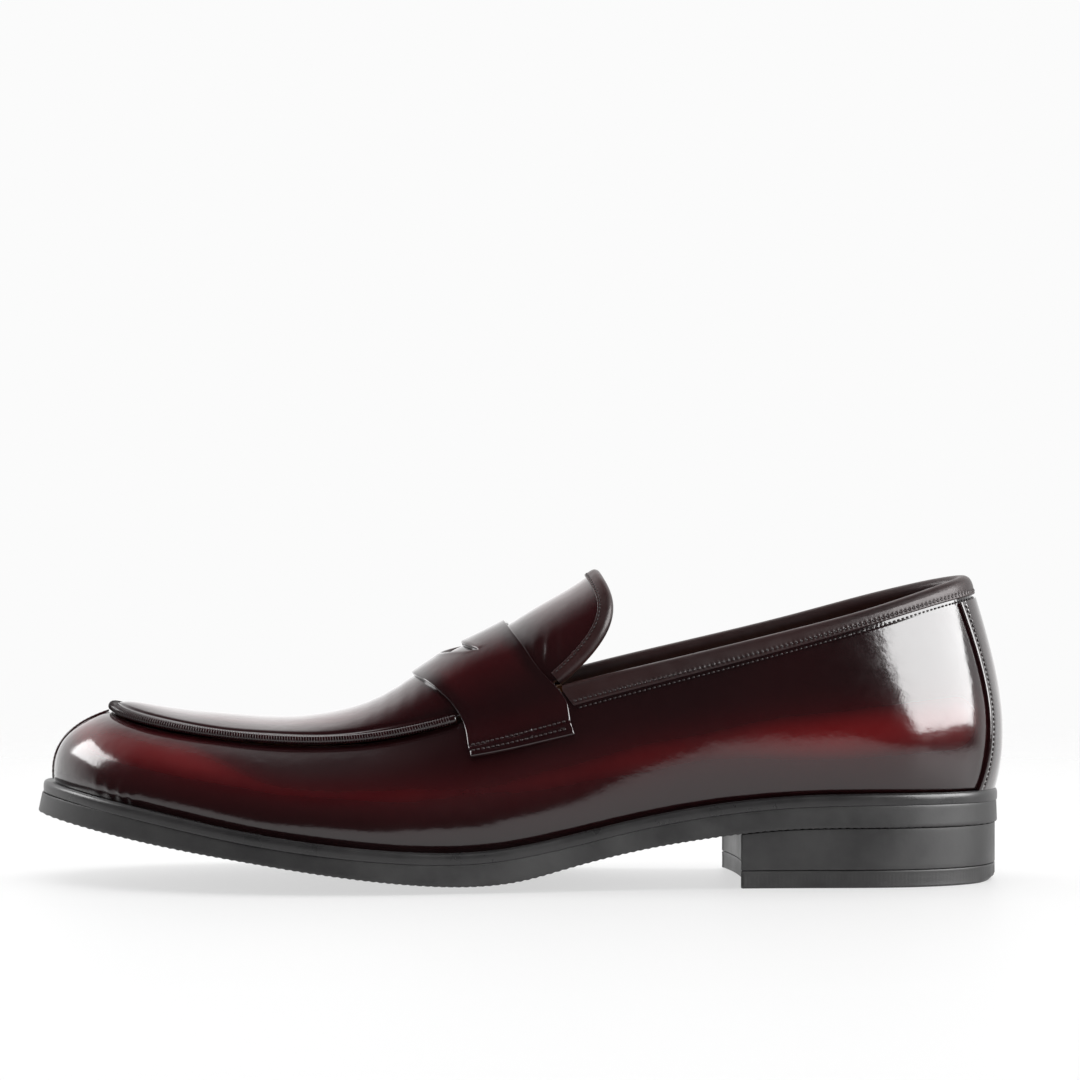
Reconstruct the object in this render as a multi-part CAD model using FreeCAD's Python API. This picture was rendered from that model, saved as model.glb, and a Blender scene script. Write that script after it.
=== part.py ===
import FreeCAD, Part
import math
import os
from bisect import bisect_right
from FreeCAD import Vector

# A man's penny loafer for the left foot, about EU 42.5, in millimetres.
# +X runs from the toe to the heel, +Y to the inner (medial) side, +Z up. The shoe stands on Z = 0.

# ---- driving dimensions ----
LEATHER = 1.4            # side panels and apron
STRAP_LEATHER = 1.2
GLUE = 0.1               # gap between glued layers
STIFFENER = 0.7          # toe puff and heel counter
LINING = 1.0
WELT_THICKNESS = 3.1
WELT_LAP = 2.4           # how far the welt reaches in under the upper
BOARD_THICKNESS = 2.3
SOCK_THICKNESS = 1.1
WALL_DEPTH = LEATHER + STIFFENER + LINING + 3 * GLUE
TOP_PIECE_THICKNESS = 5.4
HEEL_BREAST_X = 67.7     # the heel's front face at its lateral corner
HEEL_BREAST_SKEW = 3.1   # how much further forward the medial corner is
HEEL_BREAST_BOW = 3.2    # how far the face is hollowed
HEEL_BACK_X = 149.9
HEEL_INSET = 0.7         # heel block inside the outsole's edge
SOLE_CAMBER = 1.9        # how far the forefoot's edges stand off the floor
RECESS_DEPTH = 2.3
RECESS_INSET = 10.0
STRAP_FRONT = 9.9        # the strap lies between two planes square to the instep
STRAP_REAR = 41.3
STRAP_LIFT = 0.28
APRON_END = 33.5         # the apron stops under the strap, clear of the tongue
TONGUE_ROOT = 38.5
TONGUE_DROP = 0.65       # the tongue lies this far under the apron's own surface
BINDING = 0.8
INSTEP_NORMAL = Vector(0.83, 0.0, 0.558)
TO_ORIGIN = Vector(-0.62, 1.71, 0.02)    # puts the middle of the shoe's bounding box over the origin

# The upper's bottom edge (feather line) and the top edge of its side wall, station by station.
# Each row: feather x, y; wall top x, y, z; outward lean at the bottom, inward lean at the top (degrees).
TOE = (-145.8, 1.0, -127.4, 0.6, 52.4, 7, 73)
LATERAL = [
    (-135.5, -19.5, -123.0, -10.5, 50.6, 8, 72),
    (-115.0, -35.5, -108.0, -20.0, 47.2, 9, 68),
    (-85.0, -46.5, -80.0, -26.5, 43.8, 11, 63),
    (-50.0, -49.5, -45.0, -27.5, 44.3, 12, 57),
    (-15.0, -45.0, -12.0, -27.5, 52.0, 13, 42),
    (20.0, -38.5, 13.0, -30.6, 59.8, 14, 26),
    (55.0, -33.8, 47.0, -32.0, 68.0, 17, 19),
    (90.0, -31.8, 84.0, -29.5, 76.9, 19, 18),
    (120.0, -29.5, 112.0, -24.5, 84.3, 19, 18),
    (140.3, -18.5, 132.8, -13.0, 90.6, 18, 17),
]
HEEL = (147.9, 0.0, 140.6, 0.0, 92.8, 17, 17)
MEDIAL = [
    (-136.5, 21.5, -123.0, 11.5, 50.8, 8, 72),
    (-116.0, 36.0, -108.0, 21.0, 47.6, 9, 68),
    (-85.0, 44.5, -80.0, 27.0, 44.6, 11, 63),
    (-50.0, 45.5, -45.0, 27.5, 45.6, 12, 57),
    (-15.0, 38.0, -12.0, 27.5, 53.6, 15, 42),
    (20.0, 29.5, 13.0, 30.0, 61.6, 22, 26),
    (55.0, 27.8, 47.0, 29.5, 70.0, 24, 19),
    (90.0, 30.2, 84.0, 27.5, 79.0, 21, 18),
    (120.0, 29.5, 112.0, 23.5, 86.6, 19, 18),
    (140.3, 18.5, 132.8, 12.5, 91.6, 18, 17),
]
# Ridge of the apron and tongue at the same stations: x, y, z, half angle of its arch (degrees).
RIDGE_TOE = (-125.8, 0.6, 54.6, 50)
RIDGE = [
    (-122.0, 0.5, 55.0, 50),
    (-108.0, 0.5, 53.1, 50),
    (-82.0, 0.0, 50.7, 54),
    (-50.5, 0.0, 54.0, 64),
    (-24.5, 0.0, 68.9, 76),
    (-0.5, -0.2, 81.7, 85),
    (12.0, -0.3, 89.4, 88),
    (25.0, -0.3, 97.6, 88),
]
# Where the tongue's sides would reach if its end were square: x, y, z.
TONGUE_SIDE = [(26.5, 29.6, 68.2), (40.0, 28.4, 75.2)]
SEAM_INSET = 2.2         # apron edge inside the wall's top edge
SEAM_RISE = 2.3          # and above it

# Side profiles along x: feather height, underside of the outsole, outsole edge margin.
FEATHER_PROFILE = [(-160, 32.5), (-146, 30.3), (-118, 25.4), (-84, 18.6), (-56, 14.3), (-30, 12.0),
                   (-10, 12.2), (12, 15.8), (34, 20.8), (56, 24.8), (84, 27.6), (115, 28.3), (150, 28.0), (160, 27.8)]
SOLE_PROFILE = [(-160, 25.2), (-150, 22.3), (-128, 16.8), (-102, 11.2), (-79, 7.0), (-56, 3.2), (-34, 0.7),
                (-16, 0.0), (0, 1.6), (12, 4.7), (26, 8.7), (42, 12.6), (60, 15.6), (80, 17.6), (110, 18.2), (160, 18.1)]
MARGIN_PROFILE = [(-160, 4.3), (-120, 4.5), (-60, 4.8), (-10, 4.4), (40, 3.4), (90, 2.6), (125, 2.2), (160, 1.5)]


# ---- curves ----
class Spline:
    """A natural cubic curve through rows of numbers at the given knots."""

    def __init__(self, knots, rows):
        self.knots = knots
        self.rows = rows
        self.bends = list(zip(*[self._second(column) for column in zip(*rows)]))

    def _second(self, values):
        k = self.knots
        n = len(k)
        c = [0.0] * n
        d = [0.0] * n
        for i in range(1, n - 1):
            a = k[i] - k[i - 1]
            b = k[i + 1] - k[i]
            r = 6 * ((values[i + 1] - values[i]) / b - (values[i] - values[i - 1]) / a)
            m = 2 * (a + b) - a * c[i - 1]
            c[i] = b / m
            d[i] = (r - a * d[i - 1]) / m
        for i in range(n - 2, 0, -1):
            d[i] -= c[i] * d[i + 1]
        return d

    def at(self, x):
        k = self.knots
        i = min(max(bisect_right(k, x) - 1, 0), len(k) - 2)
        h = k[i + 1] - k[i]
        a = (k[i + 1] - x) / h
        b = 1 - a
        p = (a ** 3 - a) * h * h / 6
        q = (b ** 3 - b) * h * h / 6
        pairs = zip(self.rows[i], self.rows[i + 1], self.bends[i], self.bends[i + 1])
        return [a * y0 + b * y1 + p * m0 + q * m1 for y0, y1, m0, m1 in pairs]


def profile(points):
    curve = Spline([p[0] for p in points], [(p[1],) for p in points])
    return lambda x: curve.at(x)[0]


feather_height = profile(FEATHER_PROFILE)
sole_height = profile(SOLE_PROFILE)
margin = profile(MARGIN_PROFILE)


def smooth(x, start, end):
    w = min(max((x - start) / (end - start), 0.0), 1.0)
    return w * w * (3 - 2 * w)


def steps(start, end, count):
    return [start + (end - start) * i / (count - 1) for i in range(count)]


# ---- the side wall: s runs round the shoe from the toe by the outer side, t from 0 at the welt to 1 ----
def reach(rows):
    """Chord length from the first station to each of the others, on the feather line."""
    total = [0.0]
    for a, b in zip(rows, rows[1:]):
        total.append(total[-1] + math.hypot(a[0] - b[0], a[1] - b[1]))
    return total


lateral_reach = reach([TOE] + LATERAL + [HEEL])
medial_reach = reach([TOE] + MEDIAL + [HEEL])
KNOTS = [(a + b) / 2 for a, b in zip(lateral_reach, medial_reach)]
HALF = KNOTS[-1]
ROUND = 2 * HALF


def closed_wall():
    half_out = [TOE] + LATERAL + [HEEL]
    half_back = MEDIAL[::-1] + [TOE]
    knots = KNOTS + [ROUND - k for k in KNOTS[-2::-1]]
    rows = half_out + half_back
    before = [(k - ROUND, r) for k, r in zip(knots[-5:-1], rows[-5:-1])]
    after = [(k + ROUND, r) for k, r in zip(knots[1:5], rows[1:5])]
    every = before + list(zip(knots, rows)) + after
    return Spline([k for k, _ in every], [r for _, r in every])


WALL = closed_wall()


def station(s):
    """The wall's numbers at a distance round the shoe, which comes back to the toe after ROUND."""
    return WALL.at(s % ROUND)


def feather(s):
    """A feather-line point and its outward level direction."""
    a = station(s - 0.2)
    b = station(s + 0.2)
    along = Vector(b[0] - a[0], b[1] - a[1], 0)
    out = Vector(along.y, -along.x, 0).normalize()
    x, y = station(s)[:2]
    return Vector(x, y, feather_height(x)), out


def wall(s, t):
    base, out = feather(s)
    row = station(s)
    top = Vector(*row[2:5])
    low = math.radians(row[5])
    high = math.radians(row[6])
    span = (top - base).Length
    closing = row[6] / 74.0
    grip_low = span * (0.30 + 0.15 * closing)
    grip_high = span * (0.35 + 0.07 * closing)
    up = Vector(0, 0, 1)
    p1 = base + (out * math.sin(low) + up * math.cos(low)) * grip_low
    p2 = top + (out * math.sin(high) - up * math.cos(high)) * grip_high
    u = 1 - t
    return base * u ** 3 + p1 * (3 * u * u * t) + p2 * (3 * u * t * t) + top * t ** 3


def wall_normal(s, t):
    e = 0.004
    along = wall(s + 0.3, t) - wall(s - 0.3, t)
    rise = wall(s, min(t + e, 1.0)) - wall(s, max(t - e, 0.0))
    return along.cross(rise).normalize()


def wall_at(s, t, depth):
    return wall(s, t) + wall_normal(s, t) * depth


# ---- the apron and tongue: u runs from the toe along the ridge, v from -1 (outer side) to 1 ----
def edge_of_apron(row, base_row, rise):
    """The apron's edge, inside and above a wall-top point."""
    top = Vector(*row[2:5])
    inward = Vector(base_row[0] - top.x, base_row[1] - top.y, 0)
    if inward.Length > SEAM_INSET:
        inward.normalize()
        inward = inward * SEAM_INSET
    return top + inward + Vector(0, 0, rise)


def dorsal_rows():
    tip = Vector(*RIDGE_TOE[:3])
    rows = [(RIDGE_TOE, tip, tip)]
    rises = [SEAM_RISE] * 4 + [SEAM_RISE * 0.5, 0.3]
    for ridge, lat, med, rise in zip(RIDGE, LATERAL, MEDIAL, rises):
        focus = (ridge[0] + 6, 0.0)
        rows.append((ridge, edge_of_apron(lat, focus, rise), edge_of_apron(med, focus, rise)))
    for ridge, (x, y, z) in zip(RIDGE[6:], TONGUE_SIDE):
        rows.append((ridge, Vector(x, -y - 0.4, z - 0.4), Vector(x, y, z + 0.4)))
    return rows


def dorsal_spline():
    rows = dorsal_rows()
    knots = KNOTS[:7] + [KNOTS[6] + 14.3, KNOTS[6] + 29.3]
    flat = [tuple(r) + tuple(lat) + tuple(med) for r, lat, med in rows]
    mirrored = [tuple(r) + tuple(med) + tuple(lat) for r, lat, med in rows[1:4]]
    every = [(-k, f) for k, f in zip(knots[1:4], mirrored)][::-1] + list(zip(knots, flat))
    return Spline([k for k, _ in every], [f for _, f in every])


DORSAL = dorsal_spline()
THROAT = KNOTS[6]
TONGUE_TIP = THROAT + 26.8


def dorsal(u, v):
    row = DORSAL.at(u)
    ridge = Vector(*row[:3])
    edge = Vector(*(row[4:7] if v < 0 else row[7:10]))
    full = math.radians(row[3])
    angle = abs(v) * full
    fall = (1 - math.cos(angle)) / (1 - math.cos(full))
    side = math.sin(angle) / math.sin(full)
    gap = edge - ridge
    return ridge + Vector(gap.x * fall, gap.y * side, gap.z * fall)


def dorsal_normal(u, v):
    along = dorsal(u + 0.3, v) - dorsal(u - 0.3, v)
    across = dorsal(u, min(v + 0.01, 1.0)) - dorsal(u, max(v - 0.01, -1.0))
    return along.cross(across).normalize()


def dorsal_at(u, v, depth):
    return dorsal(u, v) + dorsal_normal(u, v) * depth


def instep(point):
    """How far along the instep a point lies, square to the strap's edges."""
    return INSTEP_NORMAL.dot(point)


def solve(function, target, low, high):
    """Where a rising function meets the target."""
    for _ in range(40):
        middle = (low + high) / 2
        if function(middle) < target:
            low = middle
        else:
            high = middle
    return (low + high) / 2


def ridge_at(plane):
    return solve(lambda u: instep(dorsal(u, 0)), plane, KNOTS[3], TONGUE_TIP + 2)


def wall_station(plane, t, inner_side):
    """s on the wall at height t where it crosses an instep plane."""
    sign = -1 if inner_side else 1
    start = ROUND if inner_side else 0
    found = solve(lambda q: instep(wall(start + sign * q, t)), plane, KNOTS[3], KNOTS[8])
    return start + sign * found


# ---- solids ----
def surface(grid):
    made = Part.BSplineSurface()
    made.interpolate(grid)
    return made


def plate(outer, inner):
    """A closed solid between two grids of points with the same rows and columns."""
    skins = [surface(outer), surface(inner)]
    faces = [skin.toShape() for skin in skins]
    bounds = [skin.bounds() for skin in skins]
    for k in (0, 1):
        across = [skin.uIso(b[k]).toShape() for skin, b in zip(skins, bounds)]
        along = [skin.vIso(b[2 + k]).toShape() for skin, b in zip(skins, bounds)]
        faces.append(Part.makeRuledSurface(*across))
        faces.append(Part.makeRuledSurface(*along))
    return closed(faces)


def closed(faces):
    sewn = Part.makeCompound(faces)
    sewn.sewShape()
    shell = sewn.Shells[0] if sewn.Shells else Part.Shell(sewn.Faces)
    solid = Part.makeSolid(shell)
    if solid.Volume < 0:
        solid.reverse()
    return solid


def wall_plate(s_values, t_low, t_high, depth_out, depth_in, rows=9):
    """Part of the wall between two depths; t_low and t_high are numbers or functions of s."""
    low = t_low if callable(t_low) else lambda s: t_low
    high = t_high if callable(t_high) else lambda s: t_high
    weights = steps(0, 1, rows)

    def skin(depth):
        return [[wall_at(s, low(s) + w * (high(s) - low(s)), depth) for w in weights] for s in s_values]

    return plate(skin(depth_out), skin(depth_in))


def outline(reach_out, count=56):
    """The closed level outline at a distance outside the feather line: a number, or a function of x."""
    points = []
    for k in range(count):
        base, out = feather(ROUND * k / count)
        away = reach_out(base.x) if callable(reach_out) else reach_out
        points.append(Vector(base.x + out.x * away, base.y + out.y * away, -10))
    curve = Part.BSplineCurve()
    curve.interpolate(Points=points, PeriodicFlag=True)
    return Part.Wire(curve.toShape())


def prism(wire, height=120):
    return Part.Face(wire).extrude(Vector(0, 0, height))


def slab(bottom, top, columns=45, rows=13, x_low=-156.0, x_high=156.0):
    """A solid over the whole sole between two height functions of x and y."""
    xs = steps(x_low, x_high, columns)
    ys = steps(-60, 60, rows)

    def skin(height):
        return [[Vector(x, y, height(x, y)) for y in ys] for x in xs]

    return plate(skin(top), skin(bottom))


def tread_height(x, y):
    return sole_height(x) + SOLE_CAMBER * (1 - smooth(x, 10, 60)) * (y / 50.0) ** 2


def welt_edge():
    """The welt is cut a little shorter than the outsole round the toe."""
    return lambda x: margin(x) - 1.0 * (1 - smooth(x, -146, -118))


def above_feather(rise):
    return lambda x, y: feather_height(x) + rise


def channel(stations, frame, leg, outer_depth, inner_depth):
    """A folded binding: a U of leather carried along an edge.
    frame(station, h, depth) gives the point h above the edge at a depth from the outer face."""
    middle = (outer_depth + inner_depth) / 2
    half = (outer_depth - inner_depth) / 2

    def turn(radius, length):
        path = [(h, middle + radius) for h in steps(-length, 0, 6)]
        arc = [math.radians(a) for a in steps(22.5, 157.5, 7)]
        path += [(radius * math.sin(a), middle + radius * math.cos(a)) for a in arc]
        return path + [(h, middle - radius) for h in steps(0, -length, 6)]

    def skin(radius):
        return [[frame(s, h, depth) for h, depth in turn(radius, leg(s))] for s in stations]

    return plate(skin(half + BINDING), skin(half))


# ---- bottom unit ----
def bottom_unit():
    edge = prism(outline(margin))
    top_of_sole = -WELT_THICKNESS - GLUE
    sole = edge.common(slab(tread_height, above_feather(top_of_sole)))
    recess = prism(outline(-RECESS_INSET)).common(
        slab(above_feather(top_of_sole - RECESS_DEPTH), above_feather(top_of_sole + 2)))
    recess = recess.common(Part.makeBox(260, 140, 100, Vector(-160, -70, -10)))
    sole = sole.cut(recess)

    ring = prism(outline(welt_edge())).cut(prism(outline(-WELT_LAP)))
    welt = ring.common(slab(above_feather(-WELT_THICKNESS), above_feather(0)))

    near = HEEL_BREAST_X
    far = HEEL_BREAST_X - HEEL_BREAST_SKEW
    breast = Part.Arc(Vector(near, -34, -10), Vector(near + HEEL_BREAST_BOW, 0, -10),
                      Vector(far, 34, -10)).toShape()
    back = Part.makePolygon([Vector(far, 34, -10), Vector(far, 70, -10), Vector(170, 70, -10),
                             Vector(170, -70, -10), Vector(near, -70, -10), Vector(near, -34, -10)])
    behind = prism(Part.Wire([breast] + back.Edges))
    heel = prism(outline(lambda x: margin(x) - HEEL_INSET)).common(behind)
    block_top = lambda x, y: tread_height(x, y) - 0.06
    level = lambda z: Part.makeBox(340, 140, 100, Vector(-170, -70, z))
    heel_block = heel.common(slab(lambda x, y: -12.0, block_top)).common(level(TOP_PIECE_THICKNESS))
    top_piece = heel.common(level(0)).cut(level(TOP_PIECE_THICKNESS - 0.06))
    top_piece = rounded_back(top_piece)
    return sole, welt, heel_block, top_piece


def rounded_back(solid):
    """Bevels the lower back corner of the top piece, as a worn-in heel tip is cut."""
    wedge = Part.makePolygon([Vector(HEEL_BACK_X - 7, -80, -0.01), Vector(HEEL_BACK_X + 9, -80, -0.01),
                              Vector(HEEL_BACK_X + 9, -80, 2.0), Vector(HEEL_BACK_X - 7, -80, -0.01)])
    return solid.cut(Part.Face(wedge).extrude(Vector(0, 160, 0)))


# ---- inside the bottom ----
PAD_CENTRE_X = 106.0
PAD_HALF_LENGTH = 31.0
PAD_HALF_WIDTH = 20.0
PAD_THICKNESS = 2.4


def pad_bump(x, y):
    away = math.hypot((x - PAD_CENTRE_X) / PAD_HALF_LENGTH, y / PAD_HALF_WIDTH)
    return (PAD_THICKNESS + 0.25) * (1 - smooth(away, 1.05, 1.75))


def insole_parts():
    board_bottom = -WELT_THICKNESS
    board_top = board_bottom + BOARD_THICKNESS
    board = prism(outline(-WELT_LAP - 0.4)).common(slab(above_feather(board_bottom), above_feather(board_top)))
    sock_bottom = board_top + GLUE
    sock = prism(outline(-WALL_DEPTH - 1.2)).common(slab(
        lambda x, y: feather_height(x) + sock_bottom + pad_bump(x, y),
        lambda x, y: feather_height(x) + sock_bottom + SOCK_THICKNESS + pad_bump(x, y), 61, 31))
    oval = Part.Ellipse(Vector(PAD_CENTRE_X, 0, -10), PAD_HALF_LENGTH, PAD_HALF_WIDTH).toShape()
    pad = prism(Part.Wire(oval)).common(slab(
        above_feather(board_top + GLUE), above_feather(board_top + GLUE + PAD_THICKNESS)))
    floor = -WELT_THICKNESS - GLUE - RECESS_DEPTH
    filler = prism(outline(-RECESS_INSET - 0.3)).common(
        slab(above_feather(floor + GLUE), above_feather(-WELT_THICKNESS - GLUE - 0.1)))
    filler = filler.common(Part.makeBox(168, 140, 100, Vector(-160, -70, -10)))
    strip = Part.makeBox(82, 12, 100, Vector(15, -6, -10))
    shank = strip.common(slab(above_feather(floor + 0.6), above_feather(floor + 1.9)))
    return board, sock, pad, filler, shank


def pin(x, y, top, bottom, radius, head_radius, head):
    """A nail or rivet standing upright with its head at the top."""
    shaft = Part.makeCylinder(radius, top - bottom, Vector(x, y, bottom))
    cap = Part.makeCylinder(head_radius, head, Vector(x, y, top - head))
    return shaft.fuse(cap)


def heel_nails():
    spots = [(86, -13.5), (86, 13.5), (110, -17), (110, 17), (130, 0)]
    top = 28.0 - WELT_THICKNESS + BOARD_THICKNESS - 0.9
    return [pin(x, y, top, 10.0, 1.1, 2.4, 0.8) for x, y in spots]


def shank_rivets():
    made = []
    for x in (24.0, 72.0):
        board_top = feather_height(x) - WELT_THICKNESS + BOARD_THICKNESS
        floor = feather_height(x) - WELT_THICKNESS - GLUE - RECESS_DEPTH
        made.append(pin(x, 0, board_top - 0.9, floor + 0.25, 1.6, 3.2, 0.7))
    return made


# ---- upper ----
TOP_EDGE = 0.995


def side_panels():
    lateral = wall_plate(steps(0.25, HALF - 0.25, 44), 0.002, TOP_EDGE, 0, -LEATHER, 11)
    medial = wall_plate(steps(HALF + 0.25, ROUND - 0.25, 44), 0.002, TOP_EDGE, 0, -LEATHER, 11)
    return lateral, medial


def linings():
    inner = -LEATHER - STIFFENER - 2 * GLUE
    back = inner - LINING
    rear_start = KNOTS[5] + 12
    low = 0.015
    quarter = wall_plate(steps(rear_start, ROUND - rear_start, 60), low, 0.97, inner, back)
    lateral = wall_plate(steps(1.5, rear_start - 1.2, 24), low, 0.86, inner, back)
    medial = wall_plate(steps(ROUND - rear_start + 1.2, ROUND - 1.5, 24), low, 0.86, inner, back)
    grip = wall_plate(steps(HALF - 40, HALF + 40, 24), 0.09, 0.86, back - GLUE, back - GLUE - 0.8)
    return quarter, lateral, medial, grip


def stiffeners():
    outer = -LEATHER - GLUE
    inner = outer - STIFFENER

    def counter_top(s):
        return 0.60 - 0.34 * smooth(abs(s - HALF), 28, 82)

    def puff_top(s):
        return 0.88 - 0.40 * smooth(abs(s), 20, 52)

    counter = wall_plate(steps(HALF - 84, HALF + 84, 40), 0.02, counter_top, outer, inner)
    puff = wall_plate(steps(-54, 54, 34), 0.03, puff_top, outer, inner)
    return counter, puff


def back_strap():
    def half_width(t):
        return 15.0 + (4.0 if t < 0.5 else 2.5) * (2 * t - 1) ** 2

    ts = steps(0.03, 0.895, 9)
    across = steps(-1, 1, 17)

    def skin(depth):
        return [[wall_at(HALF + a * half_width(t), t, depth) for t in ts] for a in across]

    return plate(skin(GLUE + 0.9), skin(GLUE))


def toe_seam():
    ts = steps(0.04, 0.955, 13)

    def skin(depth):
        return [[wall_at(a, t, depth) for t in ts] for a in (-1.1, -0.55, 0, 0.55, 1.1)]

    return plate(skin(0.65), skin(GLUE))


def apron():
    us = steps(2.0, ridge_at(APRON_END), 32)
    vs = steps(-1, 1, 17)

    def skin(depth):
        return [[dorsal_at(u, v, depth) for v in vs] for u in us]

    def under(depth):
        inside = steps(-0.93, 0.93, 17)
        return [[dorsal_at(u, v, depth) for v in inside] for u in us[2:]]

    upper = plate(skin(0), skin(-LEATHER))
    lining = plate(under(-LEATHER - GLUE), under(-LEATHER - GLUE - LINING))
    return upper, lining


def seam_cord():
    """The raised moccasin seam between wall and apron, as one rounded strip from strap to strap."""
    reach_back = wall_station(STRAP_FRONT - 1.2, 1.0, False)
    reach_back_inner = wall_station(STRAP_FRONT - 1.2, 1.0, True) - ROUND
    path = []
    for s in steps(reach_back_inner, reach_back, 44):
        top = wall(s, 1.0)
        rise = (top - wall(s, 0.97)).normalize()
        path.append((top, rise, wall_normal(s, 1.0)))

    def arc(top, rise, normal, side):
        """The upper or lower arc of the strip's round section; narrow flats join the two."""
        centre = top + normal * 1.42 + rise * 0.55
        return [centre + normal * (side * math.sin(a) * 1.25) + rise * (math.cos(a) * 1.3)
                for a in steps(math.radians(165), math.radians(15), 9)]

    return plate([arc(*row, 1) for row in path], [arc(*row, -1) for row in path])


def strap():
    """A flat band over the instep, stitched down on both sides, with a lens-shaped slot in its crown."""
    foot = 0.685

    def bowed(share, down):
        """The strap is cut straight, so round the instep its edges bow back; down is 0 at the crown."""
        front = STRAP_FRONT - 2.0 + 5.0 * smooth(down, 0, 0.62) - 2.6 * smooth(down, 0.7, 1)
        rear = STRAP_REAR - 0.3 + 2.6 * smooth(down, 0, 0.62) - 3.3 * smooth(down, 0.7, 1)
        return front + share * (rear - front)

    def section(share):
        heights = [(foot, 1.0), (foot + 0.1, 0.87), (foot + 0.2, 0.74)]
        lateral = [wall(wall_station(bowed(share, d), t, False), t) for t, d in heights]
        medial = [wall(wall_station(bowed(share, d), t, True), t) for t, d in heights[::-1]]
        over = [dorsal(ridge_at(bowed(share, 0.65 * abs(v))), v) for v in steps(-0.8, 0.8, 9)]
        points = lateral + over + medial
        lengths = [0.0]
        for a, b in zip(points, points[1:]):
            lengths.append(lengths[-1] + (b - a).Length)
        curve = Spline(lengths, [tuple(p) for p in points])
        return [Vector(*curve.at(x)) for x in steps(0, lengths[-1], 33)]

    rows = [section(share) for share in steps(0, 1, 9)]

    def lifted(depth):
        grid = []
        for i, row in enumerate(rows):
            ahead = rows[min(i + 1, len(rows) - 1)]
            behind = rows[max(i - 1, 0)]
            line = []
            for j, point in enumerate(row):
                across = row[min(j + 1, len(row) - 1)] - row[max(j - 1, 0)]
                normal = (ahead[j] - behind[j]).cross(across).normalize()
                line.append(point + normal * depth)
            grid.append(line)
        return grid

    band = plate(lifted(STRAP_LIFT + STRAP_LEATHER), lifted(STRAP_LIFT))
    return band.cut(slot_cutter())


def slot_cutter():
    """A crescent through the strap's crown: its ends point back."""
    middle = dorsal(ridge_at(25.5), 0)
    up = dorsal_normal(ridge_at(25.5), 0)
    back = Vector(up.z, 0, -up.x).normalize()
    base = middle - up * 8
    tips = [base + back * 4.6 + Vector(0, side * 14.0, 0) for side in (-1, 1)]
    front = Part.Arc(tips[0], base - back * 5.0, tips[1]).toShape()
    rear = Part.Arc(tips[1], base + back * 2.0, tips[0]).toShape()
    return Part.Face(Part.Wire([front, rear])).extrude(up * 16)


# ---- tongue ----
TONGUE_HALF = 0.93       # how far down the arch the tongue's sides reach
TONGUE_THROAT = 43.5     # planes along the instep: where its end starts at the throat
TONGUE_REACH = 28.9      # and how much further it reaches at the crown


def over_the_arch(half, count):
    """Places across the tongue, closer together at its sides, where its end turns steeply."""
    return [half * math.sin(angle) for angle in steps(-math.pi / 2, math.pi / 2, count)]


def tongue_end(v):
    """u of the tongue's free end: full length at the crown, coming in to the throat at both sides."""
    down = min(abs(v) / TONGUE_HALF, 1.0)
    return ridge_at(TONGUE_THROAT + TONGUE_REACH * (1 - down ** 5.6))


def tongue_parts():
    root = ridge_at(TONGUE_ROOT)
    vs = over_the_arch(TONGUE_HALF, 29)
    ends = [tongue_end(v) for v in vs]
    shares = steps(0, 1, 11)

    def skin(depth, inset):
        return [[dorsal_at(root + w * (end - inset - root), v, depth) for w in shares] for v, end in zip(vs, ends)]

    leather = plate(skin(-TONGUE_DROP, 0), skin(-TONGUE_DROP - 1.2, 0))
    back = -TONGUE_DROP - 1.2 - GLUE
    lining = plate(skin(back, 0.2), skin(back - 0.9, 0.2))

    def frame(v, h, depth):
        edge = tongue_end(v)
        point = dorsal(edge, v)
        along = dorsal(tongue_end(v + 0.004), v + 0.004) - dorsal(tongue_end(v - 0.004), v - 0.004)
        normal = dorsal_normal(edge, v)
        away = along.cross(normal).normalize()
        return point + away * (-h if away.x < 0 else h) + normal * depth

    binding = channel(over_the_arch(0.915, 49), frame, lambda v: 2.6, -TONGUE_DROP + 0.2, back - 0.9 - 0.2)
    return leather, lining, binding


def topline_binding():
    start = wall_station(STRAP_REAR + 3.4, 1.0, False)
    end = wall_station(STRAP_REAR + 3.4, 1.0, True)
    leg = profile([(10, 5.0), (46, 3.9), (84, 3.2), (112, 2.7), (130, 3.0), (142, 3.6)])
    slant = 0.67

    def frame(s, h, depth):
        share = (s - start) / (end - start)
        s += -min(h, 0) * slant * (1 - 2 * share)
        if h > 0:
            top = wall(s, TOP_EDGE)
            rise = (top - wall(s, TOP_EDGE - 0.02)).normalize()
            return top + rise * h + wall_normal(s, TOP_EDGE) * depth
        span = (wall(s, 1.0) - wall(s, 0.0)).Length
        return wall_at(s, TOP_EDGE + h / span, depth)

    inner = -WALL_DEPTH - 0.2
    return channel(steps(start, end, 72), frame, lambda s: leg(wall(s, 1.0).x), 0.24, inner)


def save(name, shape):
    """Writes one sub-part and prints its volume, so that a bad solid is seen at once."""
    solids = shape if isinstance(shape, list) else [s for s in shape.Solids]
    body = solids[0] if len(solids) == 1 else Part.makeCompound(solids)
    body.translate(TO_ORIGIN)
    box = body.BoundBox
    print(f"{name:26s} solids {len(solids)} valid {body.isValid()} volume {body.Volume:9.1f} "
          f"x {box.XMin:7.1f} {box.XMax:7.1f} y {box.YMin:6.1f} {box.YMax:6.1f} z {box.ZMin:6.1f} {box.ZMax:6.1f}")
    body.exportStep(f"parts/{name}.step")


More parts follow.
